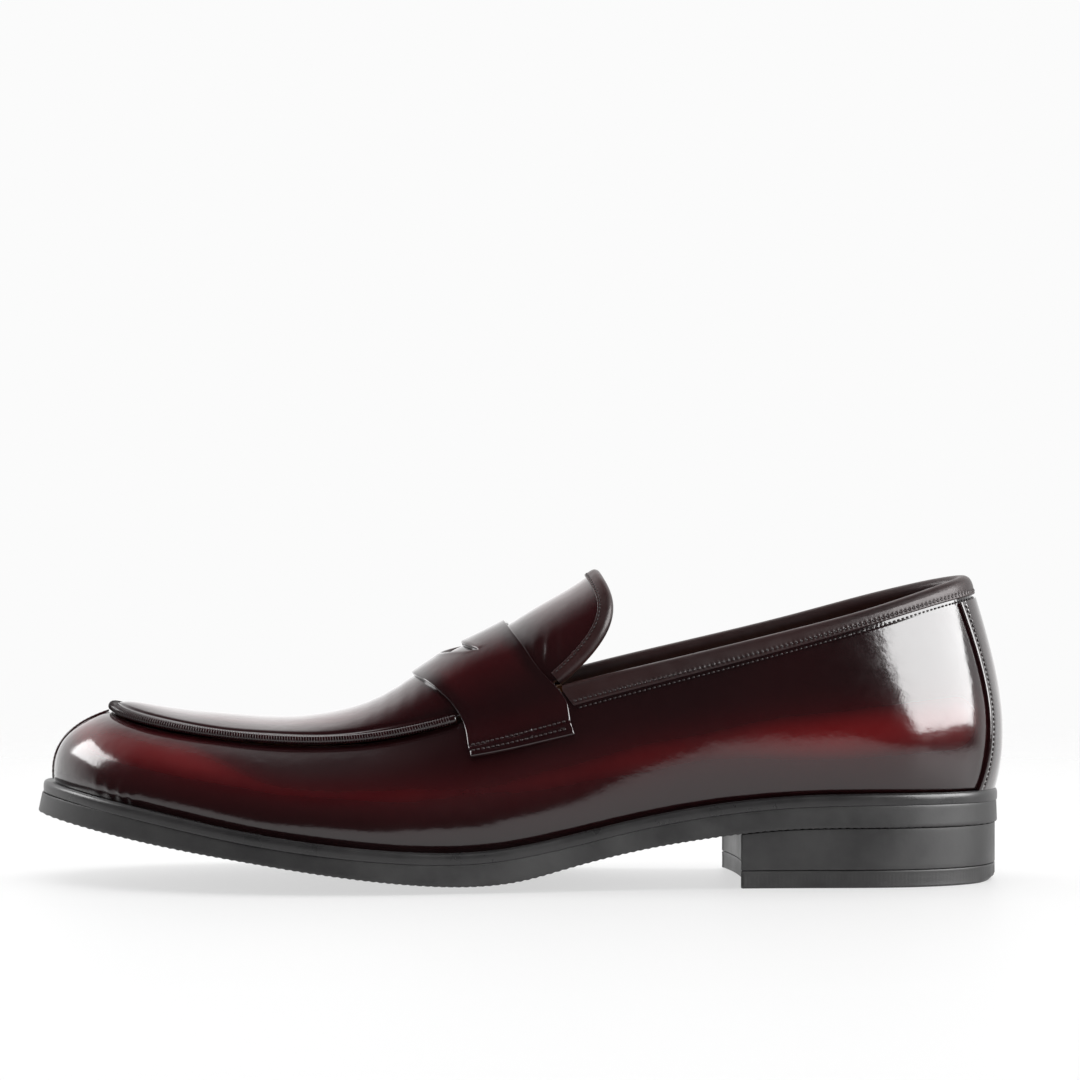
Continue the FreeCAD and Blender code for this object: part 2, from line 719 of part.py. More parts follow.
def main():
    os.makedirs("parts", exist_ok=True)
    outsole, welt, heel_block, top_piece = bottom_unit()
    board, sock, pad, filler, shank = insole_parts()
    nails = heel_nails()
    rivets = shank_rivets()
    for tool in nails:
        outsole = outsole.cut(tool)
        heel_block = heel_block.cut(tool)
        board = board.cut(tool)
    for tool in rivets:
        board = board.cut(tool)
        shank = shank.cut(tool)
    save("outsole", outsole)
    save("welt", welt)
    save("heel_block", heel_block)
    save("heel_top_piece", top_piece)
    save("insole_board", board)
    save("sock_lining", sock)
    save("heel_pad", pad)
    save("cork_filler", filler)
    save("shank", shank)
    save("heel_nails", nails)
    save("shank_rivets", rivets)

    lateral, medial = side_panels()
    save("side_panel_lateral", lateral)
    save("side_panel_medial", medial)
    quarter_lining, vamp_lateral, vamp_medial, grip = linings()
    save("quarter_lining", quarter_lining)
    save("vamp_lining_lateral", vamp_lateral)
    save("vamp_lining_medial", vamp_medial)
    save("heel_grip", grip)
    counter, puff = stiffeners()
    save("heel_counter", counter)
    save("toe_puff", puff)
    save("back_strap", back_strap())
    save("toe_seam_piping", toe_seam())
    apron_leather, apron_lining = apron()
    save("apron", apron_leather)
    save("apron_lining", apron_lining)
    save("moccasin_seam", seam_cord())
    save("saddle_strap", strap())
    tongue, tongue_lining, tongue_binding = tongue_parts()
    save("tongue", tongue)
    save("tongue_lining", tongue_lining)
    save("tongue_binding", tongue_binding)
    save("topline_binding", topline_binding())


main()
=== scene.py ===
import bpy
import bmesh
import math
import numpy as np
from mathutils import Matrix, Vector


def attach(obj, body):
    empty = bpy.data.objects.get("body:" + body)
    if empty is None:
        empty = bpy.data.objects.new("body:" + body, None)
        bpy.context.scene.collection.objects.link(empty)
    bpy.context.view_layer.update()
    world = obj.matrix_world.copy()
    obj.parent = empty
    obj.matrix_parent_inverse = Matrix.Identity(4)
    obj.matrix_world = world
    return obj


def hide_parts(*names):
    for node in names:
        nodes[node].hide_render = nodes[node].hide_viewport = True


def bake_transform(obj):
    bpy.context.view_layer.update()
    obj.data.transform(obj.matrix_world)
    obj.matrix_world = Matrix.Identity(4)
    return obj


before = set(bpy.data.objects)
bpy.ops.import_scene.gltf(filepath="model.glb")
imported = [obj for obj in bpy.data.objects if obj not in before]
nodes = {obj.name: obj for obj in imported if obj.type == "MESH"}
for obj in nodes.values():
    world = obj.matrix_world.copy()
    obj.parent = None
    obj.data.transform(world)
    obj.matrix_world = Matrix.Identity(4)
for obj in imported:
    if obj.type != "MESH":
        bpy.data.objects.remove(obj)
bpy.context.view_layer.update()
print("frame loaded:", len(nodes), "nodes")

# Shapes are worked out in millimetres and turned into metres when a mesh is made.
mm = 0.001
toOrigin = np.array([-0.62, 1.71, 0.02])     # the same shift as the CAD part
instepNormal = np.array([0.83, 0.0, 0.558])  # along the instep, square to the strap's edges

# The last: stations round the shoe, toe to heel on each side.
# feather x, y; wall top x, y, z; lean at the bottom, lean at the top (degrees)
toeRow = (-145.8, 1.0, -127.4, 0.6, 52.4, 7, 73)
lateralRows = [
    (-135.5, -19.5, -123.0, -10.5, 50.6, 8, 72),
    (-115.0, -35.5, -108.0, -20.0, 47.2, 9, 68),
    (-85.0, -46.5, -80.0, -26.5, 43.8, 11, 63),
    (-50.0, -49.5, -45.0, -27.5, 44.3, 12, 57),
    (-15.0, -45.0, -12.0, -27.5, 52.0, 13, 42),
    (20.0, -38.5, 13.0, -30.6, 59.8, 14, 26),
    (55.0, -33.8, 47.0, -32.0, 68.0, 17, 19),
    (90.0, -31.8, 84.0, -29.5, 76.9, 19, 18),
    (120.0, -29.5, 112.0, -24.5, 84.3, 19, 18),
    (140.3, -18.5, 132.8, -13.0, 90.6, 18, 17),
]
heelRow = (147.9, 0.0, 140.6, 0.0, 92.8, 17, 17)
medialRows = [
    (-136.5, 21.5, -123.0, 11.5, 50.8, 8, 72),
    (-116.0, 36.0, -108.0, 21.0, 47.6, 9, 68),
    (-85.0, 44.5, -80.0, 27.0, 44.6, 11, 63),
    (-50.0, 45.5, -45.0, 27.5, 45.6, 12, 57),
    (-15.0, 38.0, -12.0, 27.5, 53.6, 15, 42),
    (20.0, 29.5, 13.0, 30.0, 61.6, 22, 26),
    (55.0, 27.8, 47.0, 29.5, 70.0, 24, 19),
    (90.0, 30.2, 84.0, 27.5, 79.0, 21, 18),
    (120.0, 29.5, 112.0, 23.5, 86.6, 19, 18),
    (140.3, 18.5, 132.8, 12.5, 91.6, 18, 17),
]
# the ridge of apron and tongue: x, y, z, half angle of its arch
ridgeToe = (-125.8, 0.6, 54.6, 50)
ridgeRows = [
    (-122.0, 0.5, 55.0, 50),
    (-108.0, 0.5, 53.1, 50),
    (-82.0, 0.0, 50.7, 54),
    (-50.5, 0.0, 54.0, 64),
    (-24.5, 0.0, 68.9, 76),
    (-0.5, -0.2, 81.7, 85),
    (12.0, -0.3, 89.4, 88),
    (25.0, -0.3, 97.6, 88),
]
tongueSide = [(26.5, 29.6, 68.2), (40.0, 28.4, 75.2)]
featherProfile = [(-160, 32.5), (-146, 30.3), (-118, 25.4), (-84, 18.6), (-56, 14.3), (-30, 12.0), (-10, 12.2),
                  (12, 15.8), (34, 20.8), (56, 24.8), (84, 27.6), (115, 28.3), (150, 28.0), (160, 27.8)]
soleProfile = [(-160, 25.2), (-150, 22.3), (-128, 16.8), (-102, 11.2), (-79, 7.0), (-56, 3.2), (-34, 0.7),
               (-16, 0.0), (0, 1.6), (12, 4.7), (26, 8.7), (42, 12.6), (60, 15.6), (80, 17.6), (110, 18.2),
               (160, 18.1)]
marginProfile = [(-160, 4.3), (-120, 4.5), (-60, 4.8), (-10, 4.4), (40, 3.4), (90, 2.6), (125, 2.2), (160, 1.5)]


class Curve:
    # natural cubic through rows of numbers at the given knots; at() takes arrays
    def __init__(self, knots, rows):
        self.k = np.array(knots, float)
        self.y = np.array(rows, float).reshape(len(knots), -1)
        n = len(knots)
        h = np.diff(self.k)
        a = np.eye(n)
        b = np.zeros_like(self.y)
        for i in range(1, n - 1):
            a[i, i - 1:i + 2] = (h[i - 1], 2 * (h[i - 1] + h[i]), h[i])
            b[i] = 6 * ((self.y[i + 1] - self.y[i]) / h[i] - (self.y[i] - self.y[i - 1]) / h[i - 1])
        self.m = np.linalg.solve(a, b)

    def at(self, x):
        x = np.asarray(x, float)
        i = np.clip(np.searchsorted(self.k, x, "right") - 1, 0, len(self.k) - 2)
        h = self.k[i + 1] - self.k[i]
        a = ((self.k[i + 1] - x) / h)[..., None]
        b = 1 - a
        h2 = (h * h / 6)[..., None]
        bends = (a ** 3 - a) * h2 * self.m[i] + (b ** 3 - b) * h2 * self.m[i + 1]
        return a * self.y[i] + b * self.y[i + 1] + bends


def profile(points):
    # a smooth height or width along the shoe, from (x, value) pairs
    curve = Curve([p[0] for p in points], [p[1] for p in points])
    return lambda x: curve.at(x)[..., 0]


featherHeight = profile(featherProfile)
soleHeight = profile(soleProfile)
margin = profile(marginProfile)


def smooth(x, start, end):
    # 0 before start, 1 after end, eased between them
    w = np.clip((x - start) / (end - start), 0, 1)
    return w * w * (3 - 2 * w)


def bump(x, centre, width):
    # a rounded bump of height 1 at centre
    return np.exp(-((x - centre) / width) ** 2)


def unit(v):
    # directions of length 1; the small number keeps a zero vector from dividing by zero
    return v / np.maximum(np.linalg.norm(v, axis=-1, keepdims=True), 1e-9)


def runLength(points):
    # distance from the first point to each point of a path
    return np.concatenate([[0], np.cumsum(np.linalg.norm(np.diff(points, axis=0), axis=1))])


def reach(rows):
    # distance round the feather line to each row
    return runLength(np.array(rows)[:, :2])


knots = (reach([toeRow] + lateralRows + [heelRow]) + reach([toeRow] + medialRows + [heelRow])) / 2
halfRound = knots[-1]
fullRound = 2 * halfRound
loopKnots = np.concatenate([knots, fullRound - knots[-2::-1]])
loopRows = np.array([toeRow] + lateralRows + [heelRow] + medialRows[::-1] + [toeRow], float)
wallCurve = Curve(np.concatenate([loopKnots[-5:-1] - fullRound, loopKnots, loopKnots[1:5] + fullRound]),
                  np.concatenate([loopRows[-5:-1], loopRows, loopRows[1:5]]))


def station(s):
    # the wall's numbers at a distance round the shoe, which comes back to the toe after a full round
    return wallCurve.at(np.asarray(s, float) % fullRound)


def feather(s):
    # the line where upper meets sole: points, level directions outward, and the wall's numbers there
    a = station(s - 0.2)
    b = station(s + 0.2)
    along = b[..., :2] - a[..., :2]
    out = unit(np.stack([along[..., 1], -along[..., 0], 0 * along[..., 0]], -1))
    row = station(s)
    base = np.stack([row[..., 0], row[..., 1], featherHeight(row[..., 0])], -1)
    return base, out, row


def wall(s, t):
    # cubic from the feather line up to the wall's top edge, bulging outward
    s, t = np.broadcast_arrays(np.asarray(s, float), np.asarray(t, float))
    base, out, row = feather(s)
    top = row[..., 2:5]
    low = np.radians(row[..., 5:6])
    high = np.radians(row[..., 6:7])
    span = np.linalg.norm(top - base, axis=-1, keepdims=True)
    closing = row[..., 6:7] / 74.0
    up = np.array([0, 0, 1.0])
    p1 = base + (out * np.sin(low) + up * np.cos(low)) * span * (0.30 + 0.15 * closing)
    p2 = top + (out * np.sin(high) - up * np.cos(high)) * span * (0.35 + 0.07 * closing)
    t = t[..., None]
    u = 1 - t
    return base * u ** 3 + p1 * (3 * u * u * t) + p2 * (3 * u * t * t) + top * t ** 3


def wallNormal(s, t):
    # square to two short steps on the wall, one along the shoe and one up
    s, t = np.broadcast_arrays(np.asarray(s, float), np.asarray(t, float))
    along = wall(s + 0.3, t) - wall(s - 0.3, t)
    rise = wall(s, np.minimum(t + 0.004, 1)) - wall(s, np.maximum(t - 0.004, 0))
    return unit(np.cross(along, rise))


def wallAt(s, t, depth):
    # points at a distance outside the wall (inside when negative)
    depth = np.broadcast_to(depth, np.broadcast(s, t).shape)
    return wall(s, t) + wallNormal(s, t) * depth[..., None]


def wallSpan(s):
    # straight height of the wall, in millimetres, for turning a share t into a length
    return np.linalg.norm(wall(s, 1.0) - wall(s, 0.0), axis=-1)


seamInset = 2.2    # the apron's edge inside the wall's top edge
seamRise = 2.3     # and above it


def apronEdge(row, focusX, rise):
    # the apron's edge beside one row of the wall, moved towards a point on the ridge
    top = np.array(row[2:5], float)
    inward = np.array([focusX - top[0], -top[1], 0])
    size = np.linalg.norm(inward)
    if size > seamInset:
        inward = inward / size * seamInset
    return top + inward + np.array([0, 0, rise])


def dorsalCurve():
    # rows of ridge, arch angle, lateral edge and medial edge; mirrored past the toe so it closes round
    tip = ridgeToe[:3]
    rows = [list(ridgeToe) + list(tip) + list(tip)]
    rises = [seamRise] * 4 + [seamRise * 0.5, 0.3]
    mirrored = []
    for ridge, lat, med, rise in zip(ridgeRows, lateralRows, medialRows, rises):
        left = list(apronEdge(lat, ridge[0] + 6, rise))
        right = list(apronEdge(med, ridge[0] + 6, rise))
        rows.append(list(ridge) + left + right)
        mirrored.append(list(ridge) + right + left)
    for ridge, (x, y, z) in zip(ridgeRows[6:], tongueSide):
        rows.append(list(ridge) + [x, -y - 0.4, z - 0.4] + [x, y, z + 0.4])
    k = list(knots[:7]) + [knots[6] + 14.3, knots[6] + 29.3]
    return Curve([-v for v in k[3:0:-1]] + k, mirrored[2::-1] + rows)


dorsalRows = dorsalCurve()


def dorsal(u, v):
    # arches from edge to edge over the ridge: v runs from -1 (lateral) through 0 (ridge) to 1 (medial)
    u, v = np.broadcast_arrays(np.asarray(u, float), np.asarray(v, float))
    row = dorsalRows.at(u)
    ridge = row[..., :3]
    edge = np.where((v < 0)[..., None], row[..., 4:7], row[..., 7:10])
    full = np.radians(row[..., 3])
    angle = np.abs(v) * full
    fall = (1 - np.cos(angle)) / (1 - np.cos(full))
    side = np.sin(angle) / np.sin(full)
    return ridge + (edge - ridge) * np.stack([fall, side, fall], -1)


def dorsalNormal(u, v):
    # square to two short steps on the arches
    along = dorsal(u + 0.3, v) - dorsal(u - 0.3, v)
    across = dorsal(u, np.minimum(v + 0.01, 1)) - dorsal(u, np.maximum(v - 0.01, -1))
    return unit(np.cross(along, across))


def dorsalAt(u, v, depth):
    u, v, depth = np.broadcast_arrays(np.asarray(u, float), np.asarray(v, float), np.asarray(depth, float))
    return dorsal(u, v) + dorsalNormal(u, v) * depth[..., None]


def bisect(function, target, low, high):
    # where a rising function meets the target, for whole arrays; 36 halvings reach rounding error
    target = np.asarray(target, float)
    low = np.full(target.shape, float(low))
    high = np.full(target.shape, float(high))
    for _ in range(36):
        middle = (low + high) / 2
        under = function(middle) < target
        low = np.where(under, middle, low)
        high = np.where(under, high, middle)
    return (low + high) / 2


ridgeTable = np.linspace(knots[3], knots[6] + 32, 600)
ridgePlanes = dorsal(ridgeTable, 0) @ instepNormal


def ridgeAt(plane):
    # where the ridge crosses a plane square to the instep
    return np.interp(plane, ridgePlanes, ridgeTable)


def wallStation(plane, t, medial):
    # where the wall, at height t, crosses a plane square to the instep
    sign = -1 if medial else 1
    start = fullRound if medial else 0
    found = bisect(lambda q: wall(start + sign * q, t) @ instepNormal, plane, knots[3], knots[8])
    return start + sign * found


# Meshes.
def roll(distance, radius):
    # how far a rounded edge has fallen at a distance from it
    left = np.clip(1 - np.asarray(distance, float) / radius, 0, 1)
    return radius * (1 - np.sqrt(np.maximum(1 - left * left, 0)))


def gridFaces(rows, columns, closeRows=False, closeColumns=False):
    # quads between neighbours of a grid of points, wrapping round where it closes
    i = np.arange(rows if closeRows else rows - 1)
    j = np.arange(columns if closeColumns else columns - 1)
    i, j = np.meshgrid(i, j, indexing="ij")
    n = (i + 1) % rows
    m = (j + 1) % columns
    quads = [i * columns + j, n * columns + j, n * columns + m, i * columns + m]
    return np.stack(quads, -1).reshape(-1, 4)


def signedVolume(points, quads):
    # positive when the faces look outward: the sum of tetrahedra from the origin, two for each quad
    p = points[quads]
    a = np.einsum("ij,ij->i", p[:, 0], np.cross(p[:, 1], p[:, 2]))
    b = np.einsum("ij,ij->i", p[:, 0], np.cross(p[:, 2], p[:, 3]))
    return (a.sum() + b.sum()) / 6


def placePiece(name, mesh, material, body, stands=()):
    # the object for a mesh, fixed to its body; given two bodies, it only keeps the mesh where it is
    mesh.materials.append(material)
    piece = bpy.data.objects.new(name, mesh)
    bpy.context.scene.collection.objects.link(piece)
    if isinstance(body, tuple):
        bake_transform(piece)
    else:
        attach(piece, body)
    if stands:
        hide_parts(*stands)


def makePiece(name, points, quads, material, stands, body="shoe", tone=None, weld=False, sharp=50):
    # a mesh from quads, turned outward, with an optional tone for the leather's finish, which also carries painted
    # light and shade
    if signedVolume(points, quads) < 0:
        quads = quads[:, ::-1]
    mesh = bpy.data.meshes.new(name)
    mesh.vertices.add(len(points))
    mesh.vertices.foreach_set("co", ((points + toOrigin) * mm).astype(np.float32).ravel())
    mesh.loops.add(4 * len(quads))
    mesh.loops.foreach_set("vertex_index", quads.astype(np.int32).ravel())
    mesh.polygons.add(len(quads))
    mesh.polygons.foreach_set("loop_start", np.arange(0, 4 * len(quads), 4, dtype=np.int32))
    mesh.update(calc_edges=True)
    if tone is not None:
        attribute = mesh.attributes.new("tone", "FLOAT", "POINT")
        attribute.data.foreach_set("value", np.ravel(tone).astype(np.float32))
    if weld:
        bm = bmesh.new()
        bm.from_mesh(mesh)
        bmesh.ops.remove_doubles(bm, verts=bm.verts, dist=2e-6)
        bmesh.ops.dissolve_degenerate(bm, dist=1e-7, edges=bm.edges)
        bm.to_mesh(mesh)
        bm.free()
    mesh.validate()
    mesh.shade_smooth()
    mesh.set_sharp_from_angle(angle=math.radians(sharp))
    placePiece(name, mesh, material, body, stands)


def sheetShell(top, bottom):
    # closes two grids of the same size into one skin; rows and columns are open
    rows, columns = top.shape[:2]
    points = np.concatenate([top.reshape(-1, 3), bottom.reshape(-1, 3)])
    face = gridFaces(rows, columns)
    under = face[:, ::-1] + rows * columns
    rim = []
    index = np.arange(rows * columns).reshape(rows, columns)
    for edge in (index[:, 0][::-1], index[-1][::-1], index[:, -1], index[0]):
        a, b = edge[:-1], edge[1:]
        rim.append(np.stack([a, b, b + rows * columns, a + rows * columns], -1))
    return points, np.concatenate([face, under] + rim)


def both(values):
    # an attribute for the top grid, repeated for the bottom one
    return np.concatenate([np.ravel(values), np.ravel(values)])


def edgeSteps(total, count, radius=0.6):
    # rows from edge to edge in millimetres, crowded where the edges are rounded
    near = radius * np.array([0, 0.06, 0.25, 0.6, 1.0])
    middle = np.linspace(radius, total - radius, count)[1:-1]
    return np.concatenate([near, middle, total - near[::-1]])


# Materials.
def newMaterial(name):
    # a material with its own shader, ready to be set
    material = bpy.data.materials.new(name)
    material.use_nodes = True
    tree = material.node_tree
    return material, tree, tree.nodes["Principled BSDF"]


def noiseNode(tree, scale, detail, roughness):
    # noise in the object's own coordinates
    node = tree.nodes.new("ShaderNodeTexNoise")
    node.inputs["Scale"].default_value = scale
    node.inputs["Detail"].default_value = detail
    node.inputs["Roughness"].default_value = roughness
    place = tree.nodes.new("ShaderNodeTexCoord")
    tree.links.new(place.outputs["Object"], node.inputs["Vector"])
    return node


def ramp(tree, source, stops):
    # colours, or single grey values, at positions along a 0..1 input
    node = tree.nodes.new("ShaderNodeValToRGB")
    tree.links.new(source, node.inputs["Fac"])
    while len(node.color_ramp.elements) < len(stops):
        node.color_ramp.elements.new(0.5)
    for element, (position, colour) in zip(node.color_ramp.elements, stops):
        element.position = position
        element.color = (*colour, 1) if len(colour) == 3 else (colour[0],) * 3 + (1,)
    return node


def mathNode(tree, operation, a, b):
    node = tree.nodes.new("ShaderNodeMath")
    node.operation = operation
    for socket, value in zip(node.inputs, (a, b)):
        if isinstance(value, (int, float)):
            socket.default_value = value
        else:
            tree.links.new(value, socket)
    return node.outputs[0]


def bumpNode(tree, height, strength, distance, previous=None):
    node = tree.nodes.new("ShaderNodeBump")
    node.inputs["Strength"].default_value = strength
    node.inputs["Distance"].default_value = distance
    tree.links.new(height, node.inputs["Height"])
    if previous is not None:
        tree.links.new(previous, node.inputs["Normal"])
    return node.outputs["Normal"]


leather = {
    "dark": (0.0150, 0.0042, 0.0050),     # black cherry, at seams and under the strap; on the upper side walls and beside the strap it is also painted shade
    "middle": (0.044, 0.0052, 0.0068),
    "red": (0.190, 0.0085, 0.0105),       # where the finish is rubbed off; in the band low on the side walls it is also painted light
    "roughness": (0.15, 0.21),
    "coat": 0.85,
    "coatRoughness": 0.080,
    "wobble": 0.00030,                    # slow waviness of the surface, metres
    "grain": 0.00005,
}
bindingLeather = dict(leather, dark=(0.030, 0.0115, 0.0115), middle=(0.044, 0.0125, 0.0125),
                      red=(0.070, 0.014, 0.014), roughness=(0.36, 0.52), coat=0.18, coatRoughness=0.2,
                      grain=0.00010)


def leatherMaterial(name, values):
    # polished leather: the tone attribute chooses between dark finish and rubbed-back red, which also carry painted
    # shade and painted light
    material, tree, shader = newMaterial(name)
    tone = tree.nodes.new("ShaderNodeAttribute")
    tone.attribute_name = "tone"
    cloud = noiseNode(tree, 22, 2, 0.5)
    fine = noiseNode(tree, 260, 3, 0.6)
    mixed = mathNode(tree, "ADD", tone.outputs["Fac"], mathNode(tree, "MULTIPLY",
                     mathNode(tree, "SUBTRACT", cloud.outputs["Fac"], 0.5), 0.20))
    mixed = mathNode(tree, "ADD", mixed, mathNode(tree, "MULTIPLY",
                     mathNode(tree, "SUBTRACT", fine.outputs["Fac"], 0.5), 0.05))
    colours = ramp(tree, mixed, [(0.08, values["dark"]), (0.5, values["middle"]), (0.95, values["red"])])
    tree.links.new(colours.outputs["Color"], shader.inputs["Base Color"])
    low, high = values["roughness"]
    rough = ramp(tree, fine.outputs["Fac"], [(0.3, (low,)), (0.75, (high,))])
    tree.links.new(rough.outputs["Color"], shader.inputs["Roughness"])
    shader.inputs["Specular IOR Level"].default_value = 0.32
    shader.inputs["Coat Weight"].default_value = values["coat"]
    shader.inputs["Coat Roughness"].default_value = values["coatRoughness"]
    shader.inputs["Coat IOR"].default_value = 1.5
    wobble = noiseNode(tree, 95, 2, 0.4)
    pores = noiseNode(tree, 950, 4, 0.65)
    peel = noiseNode(tree, 420, 2, 0.5)
    normal = bumpNode(tree, wobble.outputs["Fac"], 0.5, values["wobble"])
    normal = bumpNode(tree, peel.outputs["Fac"], 0.35, 0.00009, normal)
    normal = bumpNode(tree, pores.outputs["Fac"], 0.35, values["grain"], normal)
    tree.links.new(normal, shader.inputs["Normal"])
    tree.links.new(normal, shader.inputs["Coat Normal"])
    return material


liningLeather = {"colour": (0.30, 0.155, 0.080), "worn": (0.20, 0.095, 0.050), "roughness": 0.62}


def liningMaterial(name, values, grain=0.00012):
    # matt leather with worn clouds and open pores
    material, tree, shader = newMaterial(name)
    cloud = noiseNode(tree, 55, 5, 0.65)
    pores = noiseNode(tree, 1400, 3, 0.7)
    colours = ramp(tree, cloud.outputs["Fac"], [(0.32, values["worn"]), (0.66, values["colour"])])
    tree.links.new(colours.outputs["Color"], shader.inputs["Base Color"])
    shader.inputs["Roughness"].default_value = values["roughness"]
    shader.inputs["Specular IOR Level"].default_value = 0.35
    shader.inputs["Sheen Weight"].default_value = 0.25
    normal = bumpNode(tree, cloud.outputs["Fac"], 0.3, 0.0006)
    normal = bumpNode(tree, pores.outputs["Fac"], 0.5, grain, normal)
    tree.links.new(normal, shader.inputs["Normal"])
    return material


rubber = {"colour": (0.023, 0.022, 0.023), "scuffed": (0.039, 0.038, 0.038), "roughness": (0.34, 0.52)}


def rubberMaterial(name, values, grain=0.00006):
    # black rubber, a little paler and rougher where it is scuffed
    material, tree, shader = newMaterial(name)
    cloud = noiseNode(tree, 70, 5, 0.6)
    fine = noiseNode(tree, 900, 4, 0.7)
    colours = ramp(tree, cloud.outputs["Fac"], [(0.35, values["colour"]), (0.72, values["scuffed"])])
    tree.links.new(colours.outputs["Color"], shader.inputs["Base Color"])
    low, high = values["roughness"]
    rough = ramp(tree, cloud.outputs["Fac"], [(0.3, (low,)), (0.7, (high,))])
    tree.links.new(rough.outputs["Color"], shader.inputs["Roughness"])
    shader.inputs["Specular IOR Level"].default_value = 0.5
    normal = bumpNode(tree, fine.outputs["Fac"], 0.4, grain)
    tree.links.new(normal, shader.inputs["Normal"])
    return material


def threadMaterial(name, colour):
    # waxed thread with a fibrous surface
    material, tree, shader = newMaterial(name)
    fibre = noiseNode(tree, 3200, 2, 0.6)
    colours = ramp(tree, fibre.outputs["Fac"], [(0.3, tuple(c * 0.6 for c in colour)), (0.7, colour)])
    tree.links.new(colours.outputs["Color"], shader.inputs["Base Color"])
    shader.inputs["Roughness"].default_value = 0.42
    shader.inputs["Sheen Weight"].default_value = 0.05
    normal = bumpNode(tree, fibre.outputs["Fac"], 0.6, 0.00004)
    tree.links.new(normal, shader.inputs["Normal"])
    return material


upper = leatherMaterial("upperLeather", leather)
edging = leatherMaterial("bindingLeather", bindingLeather)
lining = liningMaterial("liningLeather", liningLeather)
suede = liningMaterial("gripSuede", {"colour": (0.17, 0.085, 0.045), "worn": (0.10, 0.050, 0.028),
                                     "roughness": 0.9}, 0.0002)
soleRubber = rubberMaterial("soleRubber", rubber)
weltRubber = rubberMaterial("weltRubber", {"colour": (0.024, 0.023, 0.024), "scuffed": (0.036, 0.034, 0.035),
                                           "roughness": (0.24, 0.38)})
thread = threadMaterial("thread", (0.022, 0.009, 0.010))
print("materials made")


# Stitches, in millimetres; "edging" is the radius of the finer row on the tongue.
stitch = {"pitch": 1.55, "length": 1.15, "radius": 0.27, "edging": 0.19}


def tubes(path, outward, across, radius):
    # a closed tube along each path: points (count, rings, 3), the radius for each ring, and the faces of one
    count, rings = path.shape[:2]
    sides = 6
    angle = np.linspace(0, 2 * np.pi, sides, endpoint=False)
    ring = (outward[:, :, None] * np.cos(angle)[None, None, :, None]
            + across[:, :, None] * np.sin(angle)[None, None, :, None])
    body = path[:, :, None] + ring * radius[:, :, None, None]
    tips = np.stack([path[:, 0], path[:, -1]], 1)
    points = np.concatenate([body.reshape(count, -1, 3), tips], 1).reshape(-1, 3)
    k = np.arange(sides)
    n = (k + 1) % sides
    last = (rings - 1) * sides
    start = np.stack([k, n, k * 0 + rings * sides], -1)
    finish = np.stack([n + last, k + last, k * 0 + rings * sides + 1], -1)
    return points, (gridFaces(rings, sides, closeColumns=True), start, finish), rings * sides + 2, count


def stitchRow(points, normals, along, radius):
    # one rounded stitch at each point, lying along the seam and dipping into the leather at both ends
    x = np.linspace(-1, 1, 7)
    swell = np.sqrt(np.maximum(1 - x ** 6, 0.02))
    arch = (1 - x ** 2) * 0.9 - 0.35    # the middle stands up and the ends sink, in radii
    path = (points[:, None] + along[:, None] * (x * stitch["length"] / 2)[None, :, None]
            + normals[:, None] * (arch * radius)[None, :, None])
    side = unit(np.cross(normals, along))
    return tubes(path, side[:, None], normals[:, None], np.repeat((swell * radius)[None], len(points), 0))


def makeStitches(name, rows, body="shoe"):
    # joins several rows of stitches into one piece
    verts = []
    triangles = []
    quads = []
    offset = 0
    for points, (tube, start, finish), each, count in rows:
        shift = (np.arange(count) * each)[:, None, None] + offset
        quads.append((tube[None] + shift).reshape(-1, 4))
        triangles.append((start[None] + shift).reshape(-1, 3))
        triangles.append((finish[None] + shift).reshape(-1, 3))
        verts.append(points)
        offset += len(points)
    verts = np.concatenate(verts)
    faces = [tuple(f) for f in np.concatenate(quads).tolist()]
    faces += [tuple(f) for f in np.concatenate(triangles).tolist()]
    mesh = bpy.data.meshes.new(name)
    mesh.from_pydata(((verts + toOrigin) * mm).tolist(), [], faces)
    mesh.validate()
    bm = bmesh.new()
    bm.from_mesh(mesh)
    bmesh.ops.recalc_face_normals(bm, faces=bm.faces)
    bm.to_mesh(mesh)
    bm.free()
    mesh.shade_smooth()
    placePiece(name, mesh, thread, body)


def evenly(path, spacing, skip=0.0):
    # parameters at an even spacing along a path given as (parameter, points)
    parameter, points = path
    length = runLength(points)
    count = int((length[-1] - 2 * skip) / spacing)
    return np.interp(skip + (np.arange(count) + 0.5) * spacing, length, parameter)


# Bottom.
sole = {
    "weltHeight": 3.1,
    "weltLap": 2.4,
    "toeFlare": 1.1,         # the outsole's edge stands out at the toe
    "treadPitch": 2.3,
    "treadDepth": 0.25,
    "camber": 1.9,
    "breast": 67.7,          # the heel's front face at its outer and inner corners, and its hollow
    "breastMedial": 64.6,
    "breastBow": 3.2,
    "topPiece": 5.4,
    "heelInset": 0.7,        # the heel inside the outsole's edge
    "serration": 1.3,        # pitch of the fine teeth round the top piece
}
gapUnder = 0.1
soleStations = np.linspace(0, fullRound, 1200, endpoint=False)


def treadHeight(x, y):
    # underside of the outsole: its edges stand a little off the floor under the forefoot
    return soleHeight(x) + sole["camber"] * (1 - smooth(x, 10, 60)) * (y / 50.0) ** 2


def carried(base, out, outward, heights):
    # a profile carried round the shoe: distances outside the feather line, and heights
    flat = base[:, None, :] + out[:, None, :] * outward[..., None]
    flat[..., 2] = heights
    return flat


def centreLine(s):
    # where the rings of a bottom surface close: a line along the middle of the sole
    q = np.minimum(s % fullRound, fullRound - s % fullRound)
    row = (wallCurve.at(q) + wallCurve.at(fullRound - q)) / 2
    x = np.clip(row[:, 0], -122, 128)
    y = np.interp(x, [-122, -50, 20, 128], [0.5, -1.5, -4.0, 0.0])
    return np.stack([x, y], -1)


def rubberStep(x):
    # how far the welt stands back from the outsole's edge at the toe
    return 1.0 * (1 - smooth(x, -146, -118))


